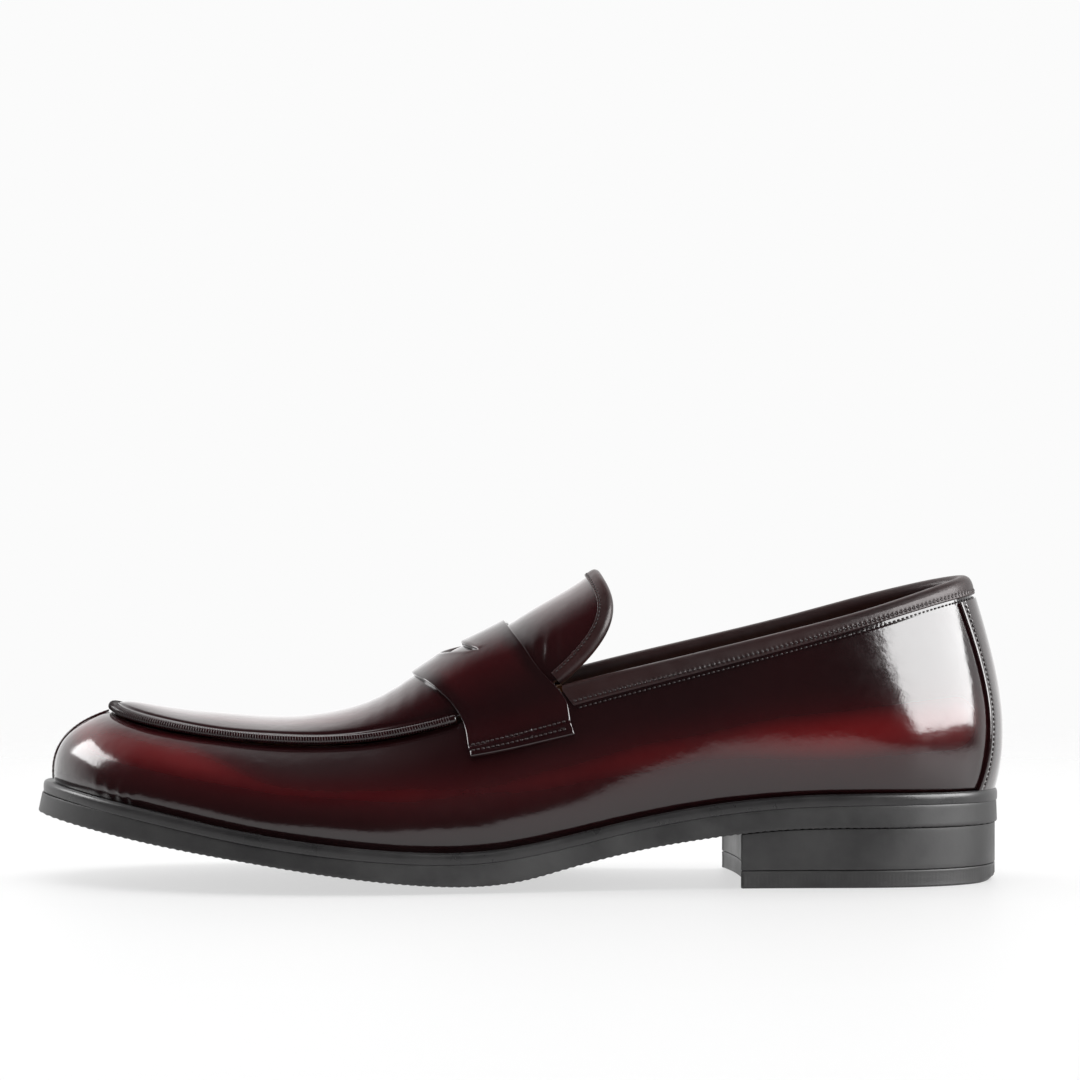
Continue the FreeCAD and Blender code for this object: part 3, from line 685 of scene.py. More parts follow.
def outsolePiece():
    # one profile carried round the shoe: cover over the top, lid, side and underside
    base, out, _ = feather(soleStations)
    x = base[:, 0]
    edge = margin(x)[:, None]
    flare = (sole["toeFlare"] * (1 - smooth(x, -149, -128)))[:, None]
    top = (featherHeight(x) - sole["weltHeight"] - gapUnder)[:, None]
    foot = treadHeight(x, base[:, 1] + out[:, 1] * margin(x))[:, None]
    # side, from the top's inner part out, down and in again
    share = np.array([0, 0.03, 0.08, 0.2, 0.4, 0.6, 0.8, 0.92, 0.97, 1.0])[None, :]
    outward = edge - 0.12 * roll(share * 6, 0.7) - 0.25 * (1 - share) * 1 + flare * (share - 0.35) \
        - 0.5 * roll((1 - share) * 6, 0.6)
    heights = top + (foot - top) * share
    teeth = 0.5 - 0.5 * np.cos(2 * np.pi * x / sole["treadPitch"])
    heights[:, -3:] += (sole["treadDepth"] * teeth)[:, None] * np.array([0.25, 0.6, 1.0])[None, :]
    inner = np.array([[6.0, 3.0, 1.2]])
    lid = carried(base, out, edge - inner, np.repeat(top, 3, 1))
    side = carried(base, out, outward, heights)
    middle = centreLine(soleStations)
    last = side[:, -1]
    ringShares = np.array([0.02, 0.06, 0.13, 0.22, 0.33, 0.45, 0.58, 0.72, 0.86, 1.0])
    flatXy = last[:, None, :2] + (middle[:, None] - last[:, None, :2]) * ringShares[None, :, None]
    zs = treadHeight(flatXy[..., 0], flatXy[..., 1])
    zs = zs + sole["treadDepth"] * (0.5 - 0.5 * np.cos(2 * np.pi * flatXy[..., 0] / sole["treadPitch"]))
    under = np.concatenate([flatXy, zs[..., None]], -1)
    lidStart = lid[:, :1]
    inwardShares = np.array([1.0, 0.66, 0.33])[None, :, None]
    topXy = lidStart[..., :2] + (middle[:, None] - lidStart[..., :2]) * inwardShares
    topZ = featherHeight(topXy[..., 0]) - sole["weltHeight"] - gapUnder
    cover = np.concatenate([topXy, topZ[..., None]], -1)
    skin = np.concatenate([cover, lid, side, under], 1)
    quads = gridFaces(len(soleStations), skin.shape[1], closeRows=True)
    makePiece("outsoleBody", skin.reshape(-1, 3), quads, soleRubber, stands=("outsole",),
              weld=True)


def weltPiece():
    # a rounded strip: down the outer side, a raised lip, and in under the upper
    base, out, _ = feather(soleStations)
    x = base[:, 0]
    edge = (margin(x) - rubberStep(x))[:, None]
    z = featherHeight(x)[:, None]
    lip = np.minimum(edge, 2.6)
    outward = np.concatenate([edge - 0.10, edge - 0.03, edge, edge + 0.05, edge, edge - 0.15, edge - 0.5, edge - 0.95,
                              edge - lip * 0.55, edge - lip * 0.75, edge * 0.22, edge * 0, edge * 0 - 1.2,
                              edge * 0 - sole["weltLap"], edge * 0 - sole["weltLap"]], 1)
    h = sole["weltHeight"]
    heights = z + np.array([[-h, -h + 0.08, -h + 0.4, -1.6, -0.7, -0.1, 0.32, 0.5, 0.42, 0.05, -0.22, -0.12,
                             -0.1, -0.1, -h]])
    skin = carried(base, out, outward, heights)
    quads = gridFaces(len(soleStations), skin.shape[1], closeRows=True, closeColumns=True)
    makePiece("weltRand", skin.reshape(-1, 3), quads, weltRubber, stands=("welt",))


def heelOutline(inset):
    # the heel's closed outline: round the back, then across the concave breast
    base, out, _ = feather(soleStations)
    edge = base + out * (margin(base[:, 0]) - inset)[:, None]
    behind = edge[edge[:, 0] > np.where(edge[:, 1] < 0, sole["breast"], sole["breastMedial"])]
    lateral, medial = behind[0], behind[-1]
    y = np.linspace(medial[1], lateral[1], 90)[1:-1]
    bow = sole["breastBow"] * (1 - (y / 34.0) ** 2)
    front = np.stack([np.interp(y, [-34, 34], [sole["breast"], sole["breastMedial"]]) + bow, y, 0 * y], -1)
    return np.concatenate([behind, front])


def heelStack(name, bottom, top, node, serrated=False):
    # a layer of the heel between two heights; its caps close on one point in the middle
    ring = heelOutline(sole["heelInset"])
    nextPoint = np.roll(ring, -2, 0)
    priorPoint = np.roll(ring, 2, 0)
    along = unit((nextPoint - priorPoint) * [1, 1, 0])
    out = np.stack([along[:, 1], -along[:, 0], 0 * along[:, 0]], -1)
    share = np.unique(np.concatenate([np.linspace(0, 1, 9), [0.015, 0.05, 0.95, 0.985]]))
    x, y = ring[:, 0], ring[:, 1]
    low, high = bottom(x, y), top(x, y)
    height = low[:, None] + (high - low)[:, None] * share[None, :]
    size = float((high - low).mean())
    inward = roll(share * size, 0.35) + roll((1 - share) * size, 0.35)
    inward = np.repeat(inward[None, :], len(ring), 0)
    if serrated:
        length = np.cumsum(np.linalg.norm(np.roll(ring, -1, 0) - ring, axis=1))
        teeth = 0.5 - 0.5 * np.cos(2 * np.pi * length / sole["serration"])
        middleOnly = smooth(share, 0.06, 0.2) * (1 - smooth(share, 0.8, 0.94))
        inward = inward + 0.14 * teeth[:, None] * middleOnly[None, :]
        back = smooth(x, 141, 150)[:, None] * (1 - smooth(share, 0, 0.34))[None, :]
        inward = inward + 1.6 * back
    side = ring[:, None] - out[:, None] * inward[..., None]
    side[..., 2] = height
    shares = np.array([0.96, 0.85, 0.6, 0.3, 0.0])
    middle = np.stack([108 + 0 * x, 0 * y], -1)

    def cap(edgeXy, heightOf, order):
        xy = middle[:, None] + (edgeXy[:, None] - middle[:, None]) * order[None, :, None]
        z = heightOf(xy[..., 0], xy[..., 1])
        return np.concatenate([xy, z[..., None]], -1)

    lowCap = cap(side[:, 0, :2], bottom, shares[::-1])
    highCap = cap(side[:, -1, :2], top, shares)
    skin = np.concatenate([lowCap, side, highCap], 1)
    quads = gridFaces(len(ring), skin.shape[1], closeRows=True)
    makePiece(name, skin.reshape(-1, 3), quads, soleRubber, stands=(node,), weld=True)


outsolePiece()
weltPiece()
heelStack("heelBlock", lambda x, y: 0 * x + sole["topPiece"], lambda x, y: treadHeight(x, y) - 0.05,
          "heel_block")
heelStack("heelTopPiece", lambda x, y: 0 * x, lambda x, y: 0 * x + sole["topPiece"] - 0.06,
          "heel_top_piece", serrated=True)
print("bottom made")

# Upper.
layers = {"leather": 1.4, "stiffener": 0.7, "lining": 1.0, "glue": 0.1, "binding": 0.8}
topEdge = 0.995
bandLeg = profile([(10, 5.0), (46, 3.9), (84, 3.2), (112, 2.7), (130, 3.0), (142, 3.6)])
# the binding runs round the topline between these stations, beside the tongue
bindingStart = float(wallStation(np.array(44.7), 1.0, False))
bindingEnd = float(wallStation(np.array(44.7), 1.0, True))


def bandEdge(s):
    # t of the binding's lower edge
    leg = bandLeg(wall(s, 1.0)[..., 0])
    return topEdge - leg / wallSpan(s)


def pucker(along, across, width, depth):
    # leather drawn down along a stitch row, most at the needle holes between the stitches
    wave = 0.45 + 0.55 * np.cos(2 * np.pi * along / stitch["pitch"])
    return -1.35 * depth * bump(across, 0, width) * wave


panel = {
    "stations": 500,
    # by the welt under the toe: x, height, width
    "pleats": ((-125.0, 0.35, 1.5), (-121.3, 0.5, 1.3), (-117.8, 0.3, 1.1), (-129.5, 0.2, 1.6)),
    "weltPull": 0.25,        # how far the leather is drawn in along the welt and along the apron seam
    "seamPull": 0.30,
    "undulation": 0.10,
    "tone": 0.14,            # finish of the dark parts, 0 to 1; on the upper wall this dark is also painted shade
    "reddened": 0.40,         # how far the band low on the wall is reddened: rubbed-back finish and painted light together
}


def sidePanel(name, sLow, sHigh, node, medial):
    # one side of the upper, from toe seam to back strap
    s = np.linspace(sLow, sHigh, panel["stations"])
    t = np.unique(np.concatenate([np.linspace(0.002, 0.86, 56), np.linspace(0.86, topEdge, 40)]))
    gridS, gridT = np.meshgrid(s, t, indexing="ij")
    span = wallSpan(s)[:, None]
    length = runLength(wall(s, 0.9))[:, None]
    depth = np.zeros_like(gridS)
    # row just below the topline's binding
    bound = smooth(s, bindingStart, bindingStart + 4) * (1 - smooth(s, bindingEnd - 4, bindingEnd))
    below = (bandEdge(s)[:, None] - 0.9 / span - gridT) * span
    depth += pucker(length, below, 0.6, 0.22) * bound[:, None]
    # small pleats where the toe is drawn under, by the welt
    for x, size, width in panel["pleats"]:
        sign = 1 if medial else -1
        place = wall(s, 0.05)
        near = bump(place[:, 0], x, width) * (np.sign(place[:, 1]) == sign)
        depth += size * near[:, None] * (1 - smooth(gridT, 0.03, 0.24)) * smooth(gridT, -0.02, 0.03)
    # the leather is pulled in along the welt and along the apron seam
    depth -= panel["weltPull"] * bump(gridT * span, 0, 1.3)
    forward = 1 - smooth(gridS if not medial else fullRound - gridS, bindingStart - 60, bindingStart - 30)
    depth -= panel["seamPull"] * bump((topEdge - gridT) * span, 0, 1.6) * forward
    # slow undulation of lasted leather
    x = wall(gridS, gridT)[..., 0]
    waves = np.sin(x * 0.145 + 2.2 * gridT) * np.sin(gridT * 5.1 + x * 0.031)
    depth += panel["undulation"] * waves * smooth(gridT, 0, 0.2)
    outer = wallAt(gridS, gridT, depth)
    inner = wallAt(gridS, gridT, -layers["leather"])
    points, quads = sheetShell(outer, inner)
    # the dark finish is rubbed back to red in a band low on the wall, and more widely over the toe and heel; this red
    # band is also painted light, and the darker upper wall is also painted shade
    toe = 1 - smooth(x, -105, -70)
    rear = smooth(x, 55, 100)
    strength = panel["reddened"] + 0.24 * toe + 0.26 * rear + 0.10 * smooth(x, 0, 40)
    centre = 0.42 + 0.20 * toe - 0.05 * rear
    tone = panel["tone"] + strength * bump(gridT, centre, 0.17 + 0.17 * toe)
    tone = tone * (1 - 0.6 * smooth(np.abs(x), 134, 147))
    makePiece(name, points, quads, upper, stands=(node,), tone=both(tone))


sidePanel("panelLateral", 0.25, halfRound - 0.25, "side_panel_lateral", False)
sidePanel("panelMedial", halfRound + 0.25, fullRound - 0.25, "side_panel_medial", True)


piping = {"half": 1.25, "edge": 0.12, "height": 0.62, "tone": 0.35}


def toePiping():
    # the ridge down the middle of the toe
    a = np.linspace(-piping["half"], piping["half"], 17)
    t = np.linspace(0.02, 0.965, 120)
    gridA, gridT = np.meshgrid(a, t, indexing="ij")
    height = piping["edge"] + piping["height"] * np.sqrt(np.maximum(1 - (gridA / piping["half"]) ** 2, 0))
    # hand-closed: the seam's ridge is slightly beaded
    height = height * (0.96 + 0.04 * np.cos(gridT * 150))
    top = wallAt(gridA, gridT, height)
    bottom = wallAt(gridA, gridT, 0 * gridA + 0.02)
    points, quads = sheetShell(top, bottom)
    makePiece("toeSeam", points, quads, upper, stands=("toe_seam_piping",),
              tone=both(piping["tone"] + 0 * gridA))


backShape = {"waist": 15.0, "foot": 4.0, "top": 2.5, "thick": 1.0, "stitchInset": 2.3}


def backStrap():
    # the strip up the back, sewn along both edges; narrowest halfway up
    def halfWidth(t):
        return backShape["waist"] + np.where(t < 0.5, backShape["foot"], backShape["top"]) * (2 * t - 1) ** 2

    def sewn(t, side):
        return halfRound + side * (halfWidth(t) - backShape["stitchInset"])

    t = np.linspace(0.012, 0.925, 150)
    share = np.concatenate([[-1, -0.997, -0.985, -0.96], np.linspace(-0.93, 0.93, 121), [0.96, 0.985, 0.997, 1]])
    gridA, gridT = np.meshgrid(share, t, indexing="ij")
    width = halfWidth(gridT)
    fromEdge = (1 - np.abs(gridA)) * width
    depth = backShape["thick"] - roll(fromEdge, 0.45)
    depth += 0.18 * bump(fromEdge, 0.9, 0.8)
    run = gridT * wallSpan(np.array(halfRound))
    depth += pucker(run, fromEdge - backShape["stitchInset"], 0.55, 0.23)
    top = wallAt(halfRound + gridA * width, gridT, depth)
    bottom = wallAt(halfRound + gridA * width, gridT, 0.0 * gridA)
    points, quads = sheetShell(top, bottom)
    tone = 0.12 + 0.35 * smooth(fromEdge, 3.5, 9) * bump(gridT, 0.45, 0.35)
    makePiece("backStrap", points, quads, upper, stands=("back_strap",), tone=both(tone))
    rows = []
    for side in (-1, 1):
        tt = np.linspace(0.03, 0.91, 400)
        tt = evenly((tt, wall(sewn(tt, side), tt)), stitch["pitch"])
        s = sewn(tt, side)
        along = unit(wall(sewn(tt + 0.004, side), tt + 0.004) - wall(s, tt))
        rows.append(stitchRow(wallAt(s, tt, backShape["thick"] - 0.1), wallNormal(s, tt), along, stitch["radius"]))
    makeStitches("backStrapStitches", rows)


toePiping()
backStrap()


apron = {"end": 33.5, "drawn": 0.35, "fullness": 0.12, "crease": 0.07, "tone": 0.16, "reddened": 0.42}


def apronPiece():
    # top of the vamp and its lining
    u = np.concatenate([[2.0, 2.1, 2.3, 2.7], np.linspace(3.2, ridgeAt(apron["end"]), 300)])
    v = np.concatenate([[-1, -0.997, -0.985, -0.96], np.linspace(-0.94, 0.94, 121), [0.96, 0.985, 0.997, 1]])
    gridU, gridV = np.meshgrid(u, v, indexing="ij")
    place = dorsal(gridU, gridV)
    edge = dorsal(gridU, np.sign(gridV) + (gridV == 0))
    fromEdge = np.minimum(np.linalg.norm(place - edge, axis=-1), (gridU - 2.0) * 1.1)
    depth = -roll(fromEdge, 0.6)
    # drawn down just inside the seam, then a slow fullness
    depth -= apron["drawn"] * bump(fromEdge, 2.1, 0.9)
    depth += apron["fullness"] * np.sin(place[..., 0] * 0.19) * np.cos(gridV * 3.0)
    # soft creases where the vamp meets the strap
    near = smooth(place[..., 0], -62, -36)
    creases = np.sin(place[..., 0] * 0.62 + 1.4 * np.abs(gridV)) ** 2 * bump(gridV, 0, 0.75)
    depth -= apron["crease"] * near * creases
    top = dorsalAt(gridU, gridV, depth)
    bottom = dorsalAt(gridU, gridV, -layers["leather"])
    points, quads = sheetShell(top, bottom)
    # redder away from the seam and less red towards the strap; the dark beside the strap is also painted shade
    tone = apron["tone"] + apron["reddened"] * smooth(fromEdge, 2, 12) * (1 - 0.6 * smooth(place[..., 0], -60, -30))
    makePiece("apronLeather", points, quads, upper, stands=("apron",), tone=both(tone))
    inside = np.linspace(-0.93, 0.93, 61)
    gridU, gridV = np.meshgrid(np.linspace(9, ridgeAt(apron["end"]), 90), inside, indexing="ij")
    liningTop = -layers["leather"] - layers["glue"]
    top = dorsalAt(gridU, gridV, liningTop)
    bottom = dorsalAt(gridU, gridV, liningTop - layers["lining"])
    points, quads = sheetShell(top, bottom)
    makePiece("apronLining", points, quads, lining, stands=("apron_lining",))


apronPiece()

seam = {
    "lift": 1.42,            # the ridge's middle outside the wall's top edge
    "inward": 0.55,
    "high": 1.32,
    "wide": 1.38,
    "end": 12.3,             # plane across the instep where it meets the strap
    "stitchPitch": 0.82,
    "thread": 0.17,
}


def seamFrame(s):
    # middle of the seam's ridge, and the directions up the wall and away from it
    top = wall(s, 1.0)
    rise = unit(top - wall(s, 0.97))
    normal = wallNormal(s, 1.0)
    return top + normal * seam["lift"] + rise * seam["inward"], rise, normal


def moccasinSeam():
    # an oval cord round the apron, whipped with thread
    low = float(wallStation(np.array(seam["end"]), 1.0, True)) - fullRound
    high = float(wallStation(np.array(seam["end"]), 1.0, False))
    s = np.linspace(low, high, 1150)
    centre, rise, normal = seamFrame(s)
    length = runLength(centre)
    angle = np.linspace(0, 2 * np.pi, 22, endpoint=False)
    # the whip stitches cut into the ridge
    notch = 1 - 0.055 * (0.5 + 0.5 * np.cos(2 * np.pi * length / seam["stitchPitch"]))
    taper = np.minimum(smooth(np.arange(len(s)), -1, 4), smooth(np.arange(len(s))[::-1], -1, 4)) * 0.15 + 0.85
    ring = (rise[:, None] * (np.cos(angle) * seam["wide"])[None, :, None]
            + normal[:, None] * (np.sin(angle) * seam["high"])[None, :, None])
    skin = centre[:, None] + ring * (notch * taper)[:, None, None]
    ends = [centre[0] + 0 * skin[0], centre[-1] + 0 * skin[0]]
    skin = np.concatenate([ends[0][None], skin, ends[1][None]])
    quads = gridFaces(skin.shape[0], 22, closeColumns=True)
    tone = np.repeat((0.20 + 0.06 * np.sin(length * 0.7))[:, None], 22, 1)
    tone = np.concatenate([tone[:1], tone, tone[-1:]])
    makePiece("moccasinSeam", skin.reshape(-1, 3), quads, upper, stands=("moccasin_seam",),
              tone=tone, weld=True, sharp=70)

    at = evenly((s, centre), seam["stitchPitch"], 1.4)
    centre, rise, normal = seamFrame(at)
    ahead = unit(seamFrame(at + 0.3)[0] - seamFrame(at - 0.3)[0])
    turn = np.radians(np.linspace(-12, 192, 9))
    lean = np.linspace(-0.22, 0.22, 9)
    path = (centre[:, None] + rise[:, None] * (np.cos(turn) * (seam["wide"] + 0.02))[None, :, None]
            + normal[:, None] * (np.sin(turn) * (seam["high"] + 0.02))[None, :, None]
            + ahead[:, None] * lean[None, :, None])
    outward = unit(path - centre[:, None])
    across = np.repeat(ahead[:, None], len(turn), 1)
    # the thread shows at the toe and is drawn deeper into the ridge along the sides
    thin = seam["thread"] * (1 - 0.4 * smooth(centre[:, 0], -105, -60))
    makeStitches("apronStitches", [tubes(path, outward, across, np.repeat(thin[:, None], len(turn), 1))])


moccasinSeam()


# a U of leather carried along an edge, as in the CAD part, with rounded lips
def foldedBand(stations, frameOf, leg, outerDepth, innerDepth, thick, puckerOf=None):
    middle = (outerDepth + innerDepth) / 2
    half = (outerDepth - innerDepth) / 2
    legRows = np.concatenate([[0, 0.015, 0.05, 0.11], np.linspace(0.16, 1, 20)])
    arc = np.radians(np.linspace(8, 172, 17))
    rows = []
    # outer face up from the lip, over the fold, down inside, and back up along the inner face of the U
    for r, order in ((half + thick, 1), (half, -1)):
        down = [(-leg * (1 - w), middle + r) for w in legRows]
        over = [(r * np.sin(a) + 0 * leg, middle + r * np.cos(a)) for a in arc]
        inside = [(-leg * (1 - w), middle - r) for w in legRows[::-1]]
        rows.append((down + over + inside)[::order])
    skins = []
    for k, row in enumerate(rows):
        line = []
        for j, (h, depth) in enumerate(row):
            extra = 0 * stations
            if k == 0:
                lip = np.minimum(j, len(row) - 1 - j)
                if lip < 4:
                    fall = float(roll(legRows[lip] * 5.0, 0.4))
                    extra = extra - fall if j < len(row) / 2 else extra + fall
                if puckerOf is not None and j < len(legRows):
                    extra = extra + puckerOf(stations, leg + h)
            line.append(frameOf(stations, h + 0 * stations, depth + extra))
        skins.append(np.stack(line, 1))
    skin = np.concatenate(skins, 1)
    rowsCount = len(stations)
    width = skin.shape[1]
    halfWidth = width // 2
    quads = gridFaces(rowsCount, width, closeColumns=True)
    j = np.arange(halfWidth - 1)
    start = np.stack([j, j + 1, width - 2 - j, width - 1 - j], -1)
    finish = start[:, ::-1] + (rowsCount - 1) * width
    return skin, np.concatenate([quads, start, finish])


def toplineFrame(s, h, depth):
    # below the topline it follows the wall; above it goes straight on
    share = (s - bindingStart) / (bindingEnd - bindingStart)
    s = s - np.minimum(h, 0) * 0.67 * (1 - 2 * share)
    span = wallSpan(s)
    low = wallAt(s, np.minimum(topEdge + h / span, topEdge), depth)
    top = wall(s, topEdge)
    rise = unit(top - wall(s, topEdge - 0.02))
    high = top + rise * h[..., None] + wallNormal(s, topEdge) * depth[..., None]
    return np.where((h > 0)[..., None], high, low)


def toplineBinding():
    # folded over the topline, with one stitch row on it and one on the panel below
    wallDepth = layers["leather"] + layers["stiffener"] + layers["lining"] + 3 * layers["glue"]
    s = np.linspace(bindingStart, bindingEnd, 760)
    leg = bandLeg(wall(s, 1.0)[:, 0])
    length = runLength(wall(s, 1.0))

    def drawn(_, above):
        return pucker(length, above - 1.0, 0.55, 0.25) + 0.10 * bump(above, 2.6, 1.0)

    skin, quads = foldedBand(s, toplineFrame, leg, 0.24, -wallDepth - 0.2, layers["binding"], drawn)
    tone = np.repeat((0.16 + 0.06 * np.sin(length * 0.11))[:, None], skin.shape[1], 1)
    makePiece("toplineBinding", skin.reshape(-1, 3), quads, edging, stands=("topline_binding",),
              tone=tone, sharp=65)
    rows = []
    for lift, depth in ((1.0, 0.24 + layers["binding"] - 0.16), (-0.9, -0.12)):
        def place(at, lift=lift):
            share = (at - bindingStart) / (bindingEnd - bindingStart)
            legAt = bandLeg(wall(at, 1.0)[..., 0])
            slid = at + (legAt - lift) * 0.67 * (1 - 2 * share)
            return slid, topEdge - (legAt - lift) / wallSpan(slid)

        at = np.linspace(bindingStart + 0.6, bindingEnd - 0.6, 1500)
        at = evenly((at, wall(*place(at))), stitch["pitch"])
        here, t = place(at)
        along = unit(wall(*place(at + 0.2)) - wall(*place(at - 0.2)))
        rows.append(stitchRow(wallAt(here, t, depth), wallNormal(here, t), along, stitch["radius"]))
    makeStitches("toplineStitches", rows)


toplineBinding()

# Strap over the instep.
strap = {
    "front": 9.9,            # planes across the instep between which the strap lies
    "rear": 41.3,
    "lift": 0.28,
    "thick": 1.2,
    "foot": 0.685,           # how far up the wall its sewn feet start
    "slotHalf": 14.0,
}


def strapPlane(share, down):
    # the strap's two edges wander from their planes towards the feet, as it flares over the instep
    front = strap["front"] - 2.0 + 5.0 * smooth(down, 0, 0.62) - 2.6 * smooth(down, 0.7, 1)
    rear = strap["rear"] - 0.3 + 2.6 * smooth(down, 0, 0.62) - 3.3 * smooth(down, 0.7, 1)
    return front + share * (rear - front)


def strapGrid():
    # the surface under the strap: up one wall, over the crown, down the other
    foot = strap["foot"]
    heights = [(foot, 1.0), (foot + 0.1, 0.87), (foot + 0.2, 0.74)]
    shares = np.linspace(0, 1, 21)
    columns = [wall(wallStation(strapPlane(shares, d), t, False), t) for t, d in heights]
    for v in np.linspace(-0.8, 0.8, 9):
        columns.append(dorsal(ridgeAt(strapPlane(shares, 0.65 * abs(v))), v + 0 * shares))
    columns += [wall(wallStation(strapPlane(shares, d), t, True), t) for t, d in heights[::-1]]
    sections = np.stack(columns, 1)
    rows = []
    for section in sections:
        length = runLength(section)
        rows.append(Curve(length, section).at(np.linspace(0, length[-1], 241)))
    rows = np.array(rows)
    dense = Curve(shares, rows.reshape(len(shares), -1)).at(np.linspace(0, 1, 121)).reshape(121, 241, 3)
    down = np.gradient(dense, axis=0)
    across = np.gradient(dense, axis=1)
    return dense, unit(np.cross(down, across))


strapPoints, strapNormals = strapGrid()
strapHalf = np.linalg.norm(np.diff(strapPoints[60], axis=0), axis=1).sum() / 2
strapWide = np.linalg.norm(np.diff(strapPoints[:, 120], axis=0), axis=1).sum()


def sample(grid, w, a):
    # bilinear lookup; w runs 0..1 over the rows and a -1..1 over the columns
    i = np.clip(w, 0, 1) * (grid.shape[0] - 1)
    j = np.clip((a + 1) / 2, 0, 1) * (grid.shape[1] - 1)
    i0 = np.clip(i.astype(int), 0, grid.shape[0] - 2)
    j0 = np.clip(j.astype(int), 0, grid.shape[1] - 2)
    x = (i - i0)[..., None]
    y = (j - j0)[..., None]
    return ((grid[i0, j0] * (1 - x) + grid[i0 + 1, j0] * x) * (1 - y)
            + (grid[i0, j0 + 1] * (1 - x) + grid[i0 + 1, j0 + 1] * x) * y)


def strapAt(w, a, depth):
    return sample(strapPoints, w, a) + unit(sample(strapNormals, w, a)) * depth[..., None]


def saddleStrap():
    # w runs across the strap from its front edge to its rear one, a along it from foot to foot
    slotEnd = strap["slotHalf"] / strapHalf
    a = np.unique(np.concatenate([np.linspace(-1, 1, 461), [-slotEnd, slotEnd],
                                  1 - np.array([0, 0.05, 0.2, 0.45]) / strapHalf,
                                  -1 + np.array([0, 0.05, 0.2, 0.45]) / strapHalf]))
    # the slot: a crescent whose ends point back; both rims as shares of the strap's width
    inside = np.clip(1 - (a / slotEnd) ** 2, 0, None)
    tip = 20.6 / strapWide
    frontRim = np.where(np.abs(a) < slotEnd, tip - 9.6 / strapWide * inside, tip)
    rearRim = np.where(np.abs(a) < slotEnd, tip - 2.6 / strapWide * inside, tip)
    frontRows = edgeSteps(1.0, 12, 0.03)
    rearRows = edgeSteps(1.0, 12, 0.03)
    w = np.concatenate([frontRim[None] * frontRows[:, None],
                        rearRim[None] + (1 - rearRim)[None] * rearRows[:, None]])
    count = len(frontRows)
    gridA = np.repeat(a[None], len(w), 0)
    fromSide = np.minimum(w, 1 - w) * strapWide
    fromFoot = (1 - np.abs(gridA)) * strapHalf
    opening = np.clip((rearRim - frontRim) * strapWide / 1.2, 0, 1)
    toSlot = np.where(np.arange(len(w))[:, None] < count, frontRim - w, w - rearRim) * strapWide
    depth = strap["lift"] + strap["thick"] - roll(np.minimum(fromSide, fromFoot), 0.42)
    depth = depth - roll(toSlot, 0.5) * opening[None]
    depth = depth + 0.22 * bump(toSlot, 0.9, 0.8) * opening[None]
    # two stitch rows along each foot, with the leather drawn down between them
    run = w * strapWide
    depth = depth + pucker(run, fromFoot - 2.0, 0.55, 0.27)
    depth = depth + pucker(run + 0.7, fromFoot - 4.3, 0.55, 0.27)
    depth = depth + 0.16 * bump(fromFoot, 3.15, 0.7)
    # the strap's skirt sinks a little where it is sewn, and lies slightly full over the apron seam
    depth = depth + 0.25 * bump(np.abs(gridA) * strapHalf, 0.68 * strapHalf, 4.5)
    top = strapAt(w, gridA, depth)
    bottom = strapAt(w, gridA, 0 * gridA + strap["lift"] * 0.5)
    rows, columns = gridA.shape
    points, quads = sheetShell(top, bottom)
    # leave out the row of faces across the slot, and give the slot its own walls
    index = np.arange(rows * columns).reshape(rows, columns)
    acrossSlot = set(index[count - 1, :-1].tolist())
    lowest = quads.min(1)
    isGrid = (quads.max(1) - lowest == columns + 1)
    first = np.where(isGrid, lowest % (rows * columns), -1)
    keep = ~np.isin(first, list(acrossSlot)) | ~isGrid
    # the end rims' faces across the slot's row stay closed because both rims meet there
    quads = quads[keep]
    walls = []
    for row, flip in ((count - 1, 1), (count, -1)):
        edge = index[row]
        middle = np.abs((a[:-1] + a[1:]) / 2) < slotEnd
        p, q = edge[:-1][middle], edge[1:][middle]
        wallQuads = np.stack([p, q, q + rows * columns, p + rows * columns], -1)
        walls.append(wallQuads[:, ::flip])
    quads = np.concatenate([quads] + walls)
    tone = 0.12 + 0.42 * bump(np.abs(gridA), 0.34, 0.22) * smooth(fromSide, 1, 6)
    tone = tone + 0.12 * bump(np.abs(gridA), 0.85, 0.1)
    makePiece("saddleStrap", points, quads, upper, stands=("saddle_strap",), tone=both(tone),
              weld=True)
    rows = []
    for side in (-1, 1):
        for inset, phase in ((2.0, 0.0), (4.3, 0.4)):
            place = side * (1 - inset / strapHalf)
            ws = (np.arange(1.2 + phase, strapWide - 1.2, stitch["pitch"])) / strapWide
            spot = place + 0 * ws
            lift = strap["lift"] + strap["thick"] - 0.14
            along = unit(strapAt(ws + 0.01, spot, 0 * ws) - strapAt(ws - 0.01, spot, 0 * ws))
            normals = unit(sample(strapNormals, ws, spot))
            rows.append(stitchRow(strapAt(ws, spot, 0 * ws + lift), normals, along, stitch["radius"]))
    makeStitches("strapStitches", rows)


saddleStrap()
print("strap made")

# Tongue: just behind the strap, between the shoe and the tongue's body.
tongue = {
    "half": 0.93,            # how far down the arch its sides reach
    "drop": 0.65,            # how far it lies under the apron's own surface
    "thick": 1.2,
    "lining": 0.9,
    "root": 34.2,            # planes across the instep: its hidden front, and its end at the throat
    "throat": 43.5,
    "reach": 28.9,           # how much further it reaches at the crown
    "bindingHalf": 0.915,
    "bindingLeg": 2.6,
}
hinge = (np.array([0.43, 1.71, 71.92])) * mm
bend = ("shoe", "tongue", tuple(hinge - instepNormal * 1.0 * mm), tuple(hinge + instepNormal * 8.0 * mm))


def tongueEnd(v):
    # a blunt end: the high power keeps it square across the crown and rounds its corners
    down = np.clip(np.abs(v) / tongue["half"], 0, 1)
    return ridgeAt(tongue["throat"] + tongue["reach"] * (1 - down ** 5.6))


